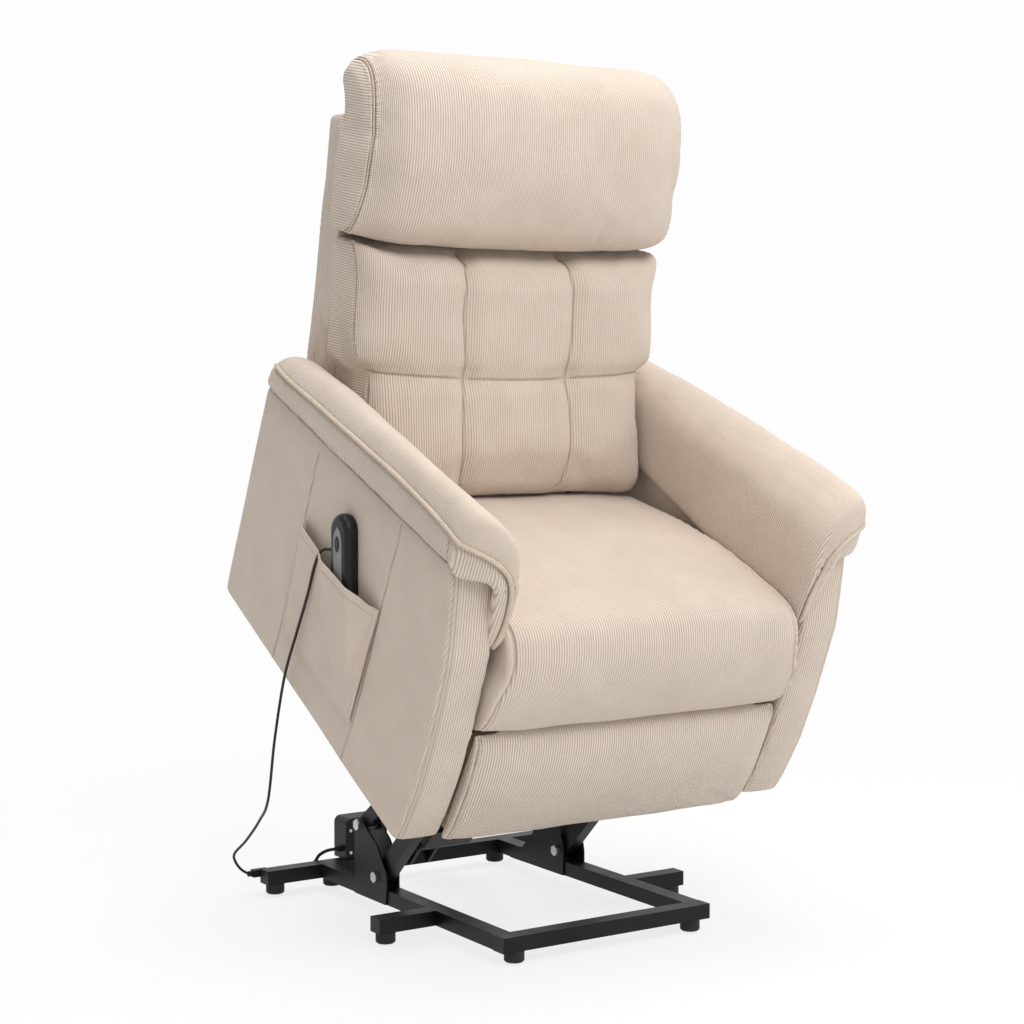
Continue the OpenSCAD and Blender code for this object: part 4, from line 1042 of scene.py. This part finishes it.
def make_arm(side, node):
    line = resample(round_corners(ARM_LINE, ARM_EDGE), 260, True)
    way = ARM_MID - line
    way /= np.linalg.norm(way, axis=1)[:, None]
    quarter = [(math.sin(a), math.cos(a)) for a in np.radians(np.linspace(0, 90, 9))]
    inner, outer = INNER_HALF + 0.0002, PANEL_OUTER - ARM_EDGE
    steps = [(inner + 0.5 * ARM_EDGE * (1 - cos), 0.5 * ARM_EDGE * (1 - sin))
             for sin, cos in quarter]
    steps += [(INNER_HALF + 0.005 + 0.0081 * k, 0.0) for k in range(1, 8)]
    steps += [(outer + ARM_EDGE * sin, ARM_EDGE * (1 - cos)) for sin, cos in quarter]
    rings = [np.stack([np.full(len(line), side * x), *(line + way * inside).T], axis=1)
             for x, inside in steps]

    def shape(obj):
        """Crowns the outer panel and the front a little."""
        co = coords(obj)
        x, u, w = co.T
        panel = lift(side * x, PANEL_OUTER - 0.008, PANEL_OUTER - 0.001)
        arch = np.sin(math.pi * np.clip((u + 0.01) / 0.72, 0, 1))
        x += side * panel * (0.0016 * np.clip(arch, 0, 1) ** 0.5)
        front = lift(-u + (w - 0.1) * 0.14, -0.03, 0.0)
        u -= 0.004 * front * np.cos((side * x - 0.34) / 0.04 * 1.4)
        set_coords(obj, co)
    obj, skin = stuffed("arm_cover_" + node, rings[::side], CHAIR, 2, (0.0012, 0.16, 6 + side),
                        shape=shape, caps=14)

    def seam(x, points):
        return skin.line(flip(side, [(x, u, w) for u, w in points]))
    seams = [seam(PANEL_OUTER + 0.006, points) for points in ARM_SEAMS]
    doubles = [seam(PANEL_OUTER - 0.004 - apart, [(u - 0.001, w) for u, w in ARM_FRONT])
               for apart in (0.0, 0.007)]
    top, rear = seam(PANEL_OUTER - 0.003, ARM_TOP), seam(PANEL_OUTER - 0.003, ARM_REAR)
    refine(obj, seams + doubles + [top, rear])
    sew(obj, seams, 0.0034, 0.0022, pucker=0.0002, roll=0.0004)
    sew(obj, doubles, 0.0004, 0.0024)
    sew(obj, [top], 0.002, 0.003)
    sew(obj, [rear], 0.0022, 0.003, roll=0.001)

    def rule(at, centre, sideways):
        """The wales are calmer on the outer panel, and hidden where their way turns."""
        x, u, w = at
        out = side * centre[0]
        face = (out > PANEL_OUTER - 0.0075) | (out < INNER_HALF + 0.004)
        outward = lift(side * x, PANEL_OUTER - 0.004, PANEL_OUTER + 0.001)
        calm = 0.50 * outward * (1 - 0.8 * lift(w + PAD_SLOPE * u, 0.430, 0.470))
        between = (side * x - PANEL_OUTER + 0.0075) / 0.005
        return [x, u], face, np.maximum(calm, 0.95 * np.exp(-between ** 2))
    dress(obj, "chair", node, rule)


PAD_CROWN = [
    (20, 462), (28, 500), (36, 538), (44, 556), (57, 566), (72, 569), (94, 570), (130, 567),
    (173, 563), (250, 552), (334, 538), (410, 524), (496, 509), (560, 496), (624, 481),
    (665, 473), (690, 466), (706, 456), (714, 444)]
PAD_NOSE = [(20, 400), (28, 415), (36, 432), (44, 446), (57, 462), (60, 466), (70, 470.7)]
PAD_SLOPE = 0.1122  # the arm rises towards the front by this
PAD_BEND = 0.070  # where the slope turns down into the nose


def pad_floor(u):
    if u < PAD_BEND:
        return np.interp(u * 1000, *np.array(PAD_NOSE).T) * MM
    return 0.4707 - PAD_SLOPE * (u - PAD_BEND)


def pad_share(u):
    """How much of its full width the pad has: less at the nose and at the rear end."""
    u = u * 1000
    if u < 60:
        return math.sin(math.radians(90 * max(0, u - 24) / 36))
    return 0.86 + 0.14 * math.cos(math.radians(90 * (u - 668) / 46)) if u > 668 else 1.0


def pad_section(u, crown, settled):
    """Section across the arm: the band's underside is level, and an inner skirt hangs down
    beside the panel, wrapped a little way round its front edge. settled lowers the inner top."""
    floor, share = pad_floor(u), pad_share(u)
    under = max(floor, 0.457) if u < PAD_BEND else floor
    inner, panel = PAD_INNER, INNER_HALF - 0.0003
    wrap = 1 - lift(u, 0.034, 0.058)
    outer = INNER_HALF + 0.014 + share * (PAD_OUTER - INNER_HALF - 0.014)
    outer = max(outer, panel + 0.030 * wrap)
    wide = outer - inner
    skirt = 0.336 + (1 - share) * 0.012
    drop, rise = under - skirt, crown - under
    soft = settled * lift(u, 0.02, 0.11) * (1 - lift(u, 0.18, 0.66))
    pts = [(inner + 0.003, skirt), (inner, skirt + 0.15 * drop), (inner, skirt + 0.5 * drop),
           (inner, under - 0.06 * drop), (inner + 0.003, under + rise * 0.28),
           (inner + 0.10 * wide, under + rise * (0.54 - 0.20 * soft)),
           (inner + 0.26 * wide, under + rise * (0.79 - 0.23 * soft)),
           (inner + 0.50 * wide, under + rise * (0.96 - 0.15 * soft)),
           (inner + 0.70 * wide, crown - 0.008 * soft), (inner + 0.87 * wide, under + rise * 0.84),
           (outer - 0.002, under + rise * 0.56), (outer - 0.004, under + rise * 0.36),
           (outer, under + rise * 0.18), (outer - 0.001, under + 0.004), (outer - 0.004, under),
           (panel + 0.006 + 0.022 * wrap, under), (panel + 0.024 * wrap, under - 0.004 * wrap),
           (panel + 0.016 * wrap, skirt + 0.5 * drop), (panel + 0.009 * wrap, skirt)]
    return resample(round_corners(pts, 0.012, 4), 110, True)


PAD_LIP = mm(
    (386, 700, 446), (391, 640, 451), (392, 520, 469), (392, 380, 489), (392, 241, 507),
    (391, 144, 516), (389, 95, 518), (382, 64, 516), (366, 47, 511), (344, 39, 503),
    (322, 32, 490), (307, 27, 472), (299, 24, 450), (295, 22, 422), (294, 22, 390),
    (297, 26, 354))
LIP_R = 0.0038
PAD_CROSS = mm((387, 86, 512), (393, 80, 495), (392, 75, 480), (388, 72, 472))
PAD_SMALL = mm((298, 23, 455), (310, 27, 452), (322, 32, 449))
PAD_SPANS = (0.020, 0.090, 18), (0.10, 0.66, 40), (0.670, 0.714, 12)


def make_pad(side, node, settled):
    us = np.concatenate([np.linspace(*span) for span in PAD_SPANS])
    crowns = np.interp(us, *(np.array(PAD_CROWN).T * MM)) - 0.002 * lift(us, 0.10, 0.20)
    rings = []
    for u, crown in zip(us, crowns):
        x, w = pad_section(u, crown, settled).T
        rings.append(np.stack([side * x, np.full(len(x), u), w], axis=1))
    obj, skin = stuffed("arm_cushion_" + node, rings[::-side], CHAIR, 4,
                        (0.0016, 0.08, 11 + side), voxel=0.005, caps=5, puff=0.003)
    lip = skin.line(flip(side, [(x, u, w - 0.004) for x, u, w in PAD_LIP]))
    cross, small = skin.line(flip(side, PAD_CROSS)), skin.line(flip(side, PAD_SMALL))
    refine(obj, [lip, cross, small])
    sew(obj, [lip], 0.0045, 0.0050, pucker=0.0007, reach=0.018, spacing=0.014)
    sew(obj, [cross], 0.0024, 0.0026, pucker=0.0004, reach=0.010)
    sew(obj, [small], 0.0020, 0.0024)
    trim("arm_piping_" + node, skin.path(flip(side, PAD_LIP), 0.0004), LIP_R, CHAIR, "chair")
    co = coords(obj)
    co[:, 0] = side * np.clip(side * co[:, 0], PAD_INNER - 0.001, PAD_OUTER + 0.004)
    set_coords(obj, co)
    lip_u, lip_over = np.array([(u, w + PAD_SLOPE * u) for x, u, w in PAD_LIP[7::-1]]).T
    nose_x, nose_w = np.array([(x, w) for x, u, w in PAD_LIP[:6:-1]]).T

    def rule(at, centre, sideways):
        """Band and inner face run across the arm's length, the top along it, the nose upright."""
        x, over = np.abs(at[0]), at[2] + PAD_SLOPE * at[1]
        mid_x, (_, mid_u, mid_w) = np.abs(centre[0]), centre
        band = mid_w + PAD_SLOPE * mid_u < np.interp(mid_u, lip_u, lip_over)
        upright = (band & (mid_x > 0.375)) | ((mid_x < 0.302) & (sideways > 0.5))
        nose = (mid_u < 0.066) & (mid_x > 0.290) & (mid_w < np.interp(mid_x, nose_x, nose_w))
        calm = lift(over, 0.500, 0.545) * (1 - lift(x, 0.350, 0.385)) * 0.9
        return [x - over, at[1], at[0]], np.where(nose, 2, np.where(upright, 1, 0)), calm
    dress(obj, "chair", node, rule)


# ---------- pocket ----------

POCKET_FRONT, POCKET_REAR = 0.205, 0.478
POCKET_LOW, POCKET_TALL = 0.081, 0.209
POCKET_THICK = 0.0019
STITCH_IN = 0.0065  # a stitched line this far inside each edge
HEM = 0.013
HANDSET_WIDE = 0.056
HANDSET_LONG = 0.170
HANDSET_AT = (0.276, 0.2218)
HANDSET_ROOM = HANDSET_THICK + 0.0032
HANDSET_HUG = HANDSET_WIDE / 2 / math.cos(math.radians(TILT)) + 0.003


def pocket_off(u, v):
    """Stand-off of the cloth from the panel: a sagging mouth, pushed out over the handset."""
    rim = min(u - POCKET_FRONT, POCKET_REAR - u)
    side = max(0, min(1, rim / 0.026))
    sag = math.sin(math.pi / 2 * side) * (0.002 + 0.011 * math.sin(math.pi / 2 * v))
    up = POCKET_LOW + v * POCKET_TALL - HANDSET_AT[1]
    beside = abs(u - (HANDSET_AT[0] + up * math.tan(math.radians(TILT)))) - HANDSET_HUG
    hug = 1 if beside < 0 else math.exp(-(beside / 0.030) ** 2)
    hug = hug * lift(v, 0.16, 0.60) * min(1, rim / 0.014)
    return 0.0012 + sag + max(0, HANDSET_ROOM - sag) * hug


def pocket_top(u):
    slant = (u - POCKET_FRONT - 0.013) / 20.4
    return POCKET_LOW + POCKET_TALL + 0.003 - slant - 0.006 * bump(u, 0.400, 0.060)


def stitched(inside):
    return 0.0010 * bump(inside, STITCH_IN, 0.0014)


def make_pocket():
    us, vs = np.linspace(POCKET_FRONT, POCKET_REAR, 170), np.linspace(0, 1, 130)
    off = np.array([[pocket_off(u, v) for v in vs] for u in us])
    for _ in range(10):
        mean = 0.25 * (off[:-2, 1:-1] + off[2:, 1:-1] + off[1:-1, :-2] + off[1:-1, 2:])
        off[1:-1, 1:-1] = np.maximum(off[1:-1, 1:-1], mean)
    verts = []
    for i, u in enumerate(us):
        high = pocket_top(u) - POCKET_LOW
        lean = (u - 0.340) / 0.138
        rim = min(u - POCKET_FRONT, POCKET_REAR - u)
        border = 0.0012 * (1 - lift(rim, 0.005, STITCH_IN)) - stitched(rim)
        for j, v in enumerate(vs):
            below = (1 - v) * high
            fold = 0.0014 * math.sin(2 * math.pi * (u / 0.07 + 0.6 * v)) * v * (1 - v) * 2.2
            hem = 0.0008 * (1 - lift(below, 0.011, HEM)) - 0.0012 * bump(below, HEM, 0.0014)
            stand = 0.0025 + off[i, j] + fold + hem + border - stitched(v * high)
            verts.append((-PANEL_OUTER - stand, u - 0.014 * (1 - v) * (1 + lean * 0.4),
                          POCKET_LOW + v * high))
    obj = new_object("side_pocket", verts, grid_faces(len(us), len(vs), False), CHAIR)
    bake(obj, "SOLIDIFY", thickness=POCKET_THICK, offset=1.0)

    def rule(at, centre, sideways):
        calm = 0.62 + 0.3 * lift(-at[1], -0.270, -0.225)
        return [at[1]], np.zeros(len(sideways), int), calm
    dress(obj, "chair", "pocket", rule)


# ---------- handset ----------

HANDSET = (CHAIR @ Matrix.Translation((-HANDSET_X, *HANDSET_AT))
           @ Matrix.Rotation(math.radians(-TILT), 4, "X"))
EDGE_ROUND = 0.0085
FOOT_ROUND = 0.014
SEAT_R, SEAT_OFF = 0.0155, 0.009  # two circles whose crossing is a rocker's seat
SEAT_DEEP = 0.0036
SEATS_UP = (0.122, 0.046)


def lens(up):
    """Cutter for a rocker's seat: two crossing circles, lengthwise."""
    a = math.acos(SEAT_OFF / SEAT_R)
    arc = np.linspace(-a, a, 15)
    rim = [(SEAT_R * math.cos(t) - SEAT_OFF, SEAT_R * math.sin(t)) for t in arc]
    rim += [(-x, -y) for x, y in rim[1:-1]]
    rings = [[(x, y, up + z) for y, z in rim]
             for x in (-HANDSET_THICK - 0.002, -HANDSET_THICK + SEAT_DEEP)]
    return loft("rocker_seat", rings, HANDSET, caps=2)


def make_handset():
    half = HANDSET_WIDE / 2
    top = HANDSET_LONG - half
    low, high = 0.020, 0.140
    corner = [(FOOT_ROUND * (1 - math.cos(t)), FOOT_ROUND * (1 - math.sin(t)))
              for t in np.radians(np.linspace(0, 90, 13))]
    outline = [(half * math.cos(t), top + half * math.sin(t))
               for t in np.radians(np.linspace(0, 180, 41))]
    outline += [(-half, z) for z in np.linspace(high, low, 13)]
    outline += [(-half + y, z) for y, z in corner]
    outline += [(half - y, z) for z, y in corner]
    outline += [(half, z) for z in np.linspace(low, high, 13)]
    plan = resample(np.array(outline), 150, True)
    ahead = np.roll(plan, -1, 0) - np.roll(plan, 1, 0)
    inward = np.stack([-ahead[:, 1], ahead[:, 0]], axis=1)
    inward /= np.linalg.norm(inward, axis=1)[:, None]
    steps = [(-HANDSET_THICK + 0.012 * (1 - math.sin(a)), EDGE_ROUND * (1 - math.cos(a)))
             for a in np.radians(np.linspace(90, 0, 10))]
    steps += [(-0.009, 0.0)]
    steps += [(-0.009 + 0.009 * math.sin(a), 0.006 * (1 - math.cos(a)))
              for a in np.radians(np.linspace(10, 90, 8))]
    rings = [np.column_stack([np.full(len(plan), x), plan + inward * inside])
             for x, inside in steps]
    obj = loft("handset_case", rings, HANDSET, caps=5)
    for up in SEATS_UP:
        cutter = lens(up)
        bake(obj, "BOOLEAN", operation="DIFFERENCE", solver="EXACT", object=cutter)
        bpy.data.objects.remove(cutter)
    place(obj, handset_black, "chair", "handset_body")


# ---------- the scene ----------

FINISH = {
    "base_pivot_bolts": zinc, "control_box_screws": zinc, "chair_pins": zinc,
    "tube_end_caps": black, "feet": foot_rubber, "control_box": black, "lead_gland": black,
    "cord_connector": black, "lift_motor": black, "recline_motor": black,
    "handset_body": handset_black, "handset_panel": handset_grey, "lift_rocker": handset_black,
    "recline_rocker": handset_black, "lift_rod": ground, "recline_rod": ground,
    "seat_end_rails": ply, "seat_side_rails": ply, "foot_board": ply,
}
make_camera()
make_cords()
make_seat()
make_back()
make_pillow()
make_footrest()
make_shell()
make_arm(-1, "arm_right")
make_arm(1, "arm_left")
make_pad(-1, "arm_pad_right", 0.95)
make_pad(1, "arm_pad_left", 0.35)
make_pocket()
make_handset()
for name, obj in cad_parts.items():
    paint(obj, FINISH.get(name, steel))
make_stage()
make_lights()
bpy.context.scene.view_settings.view_transform = "Standard"
bpy.context.scene.view_settings.look = "None"
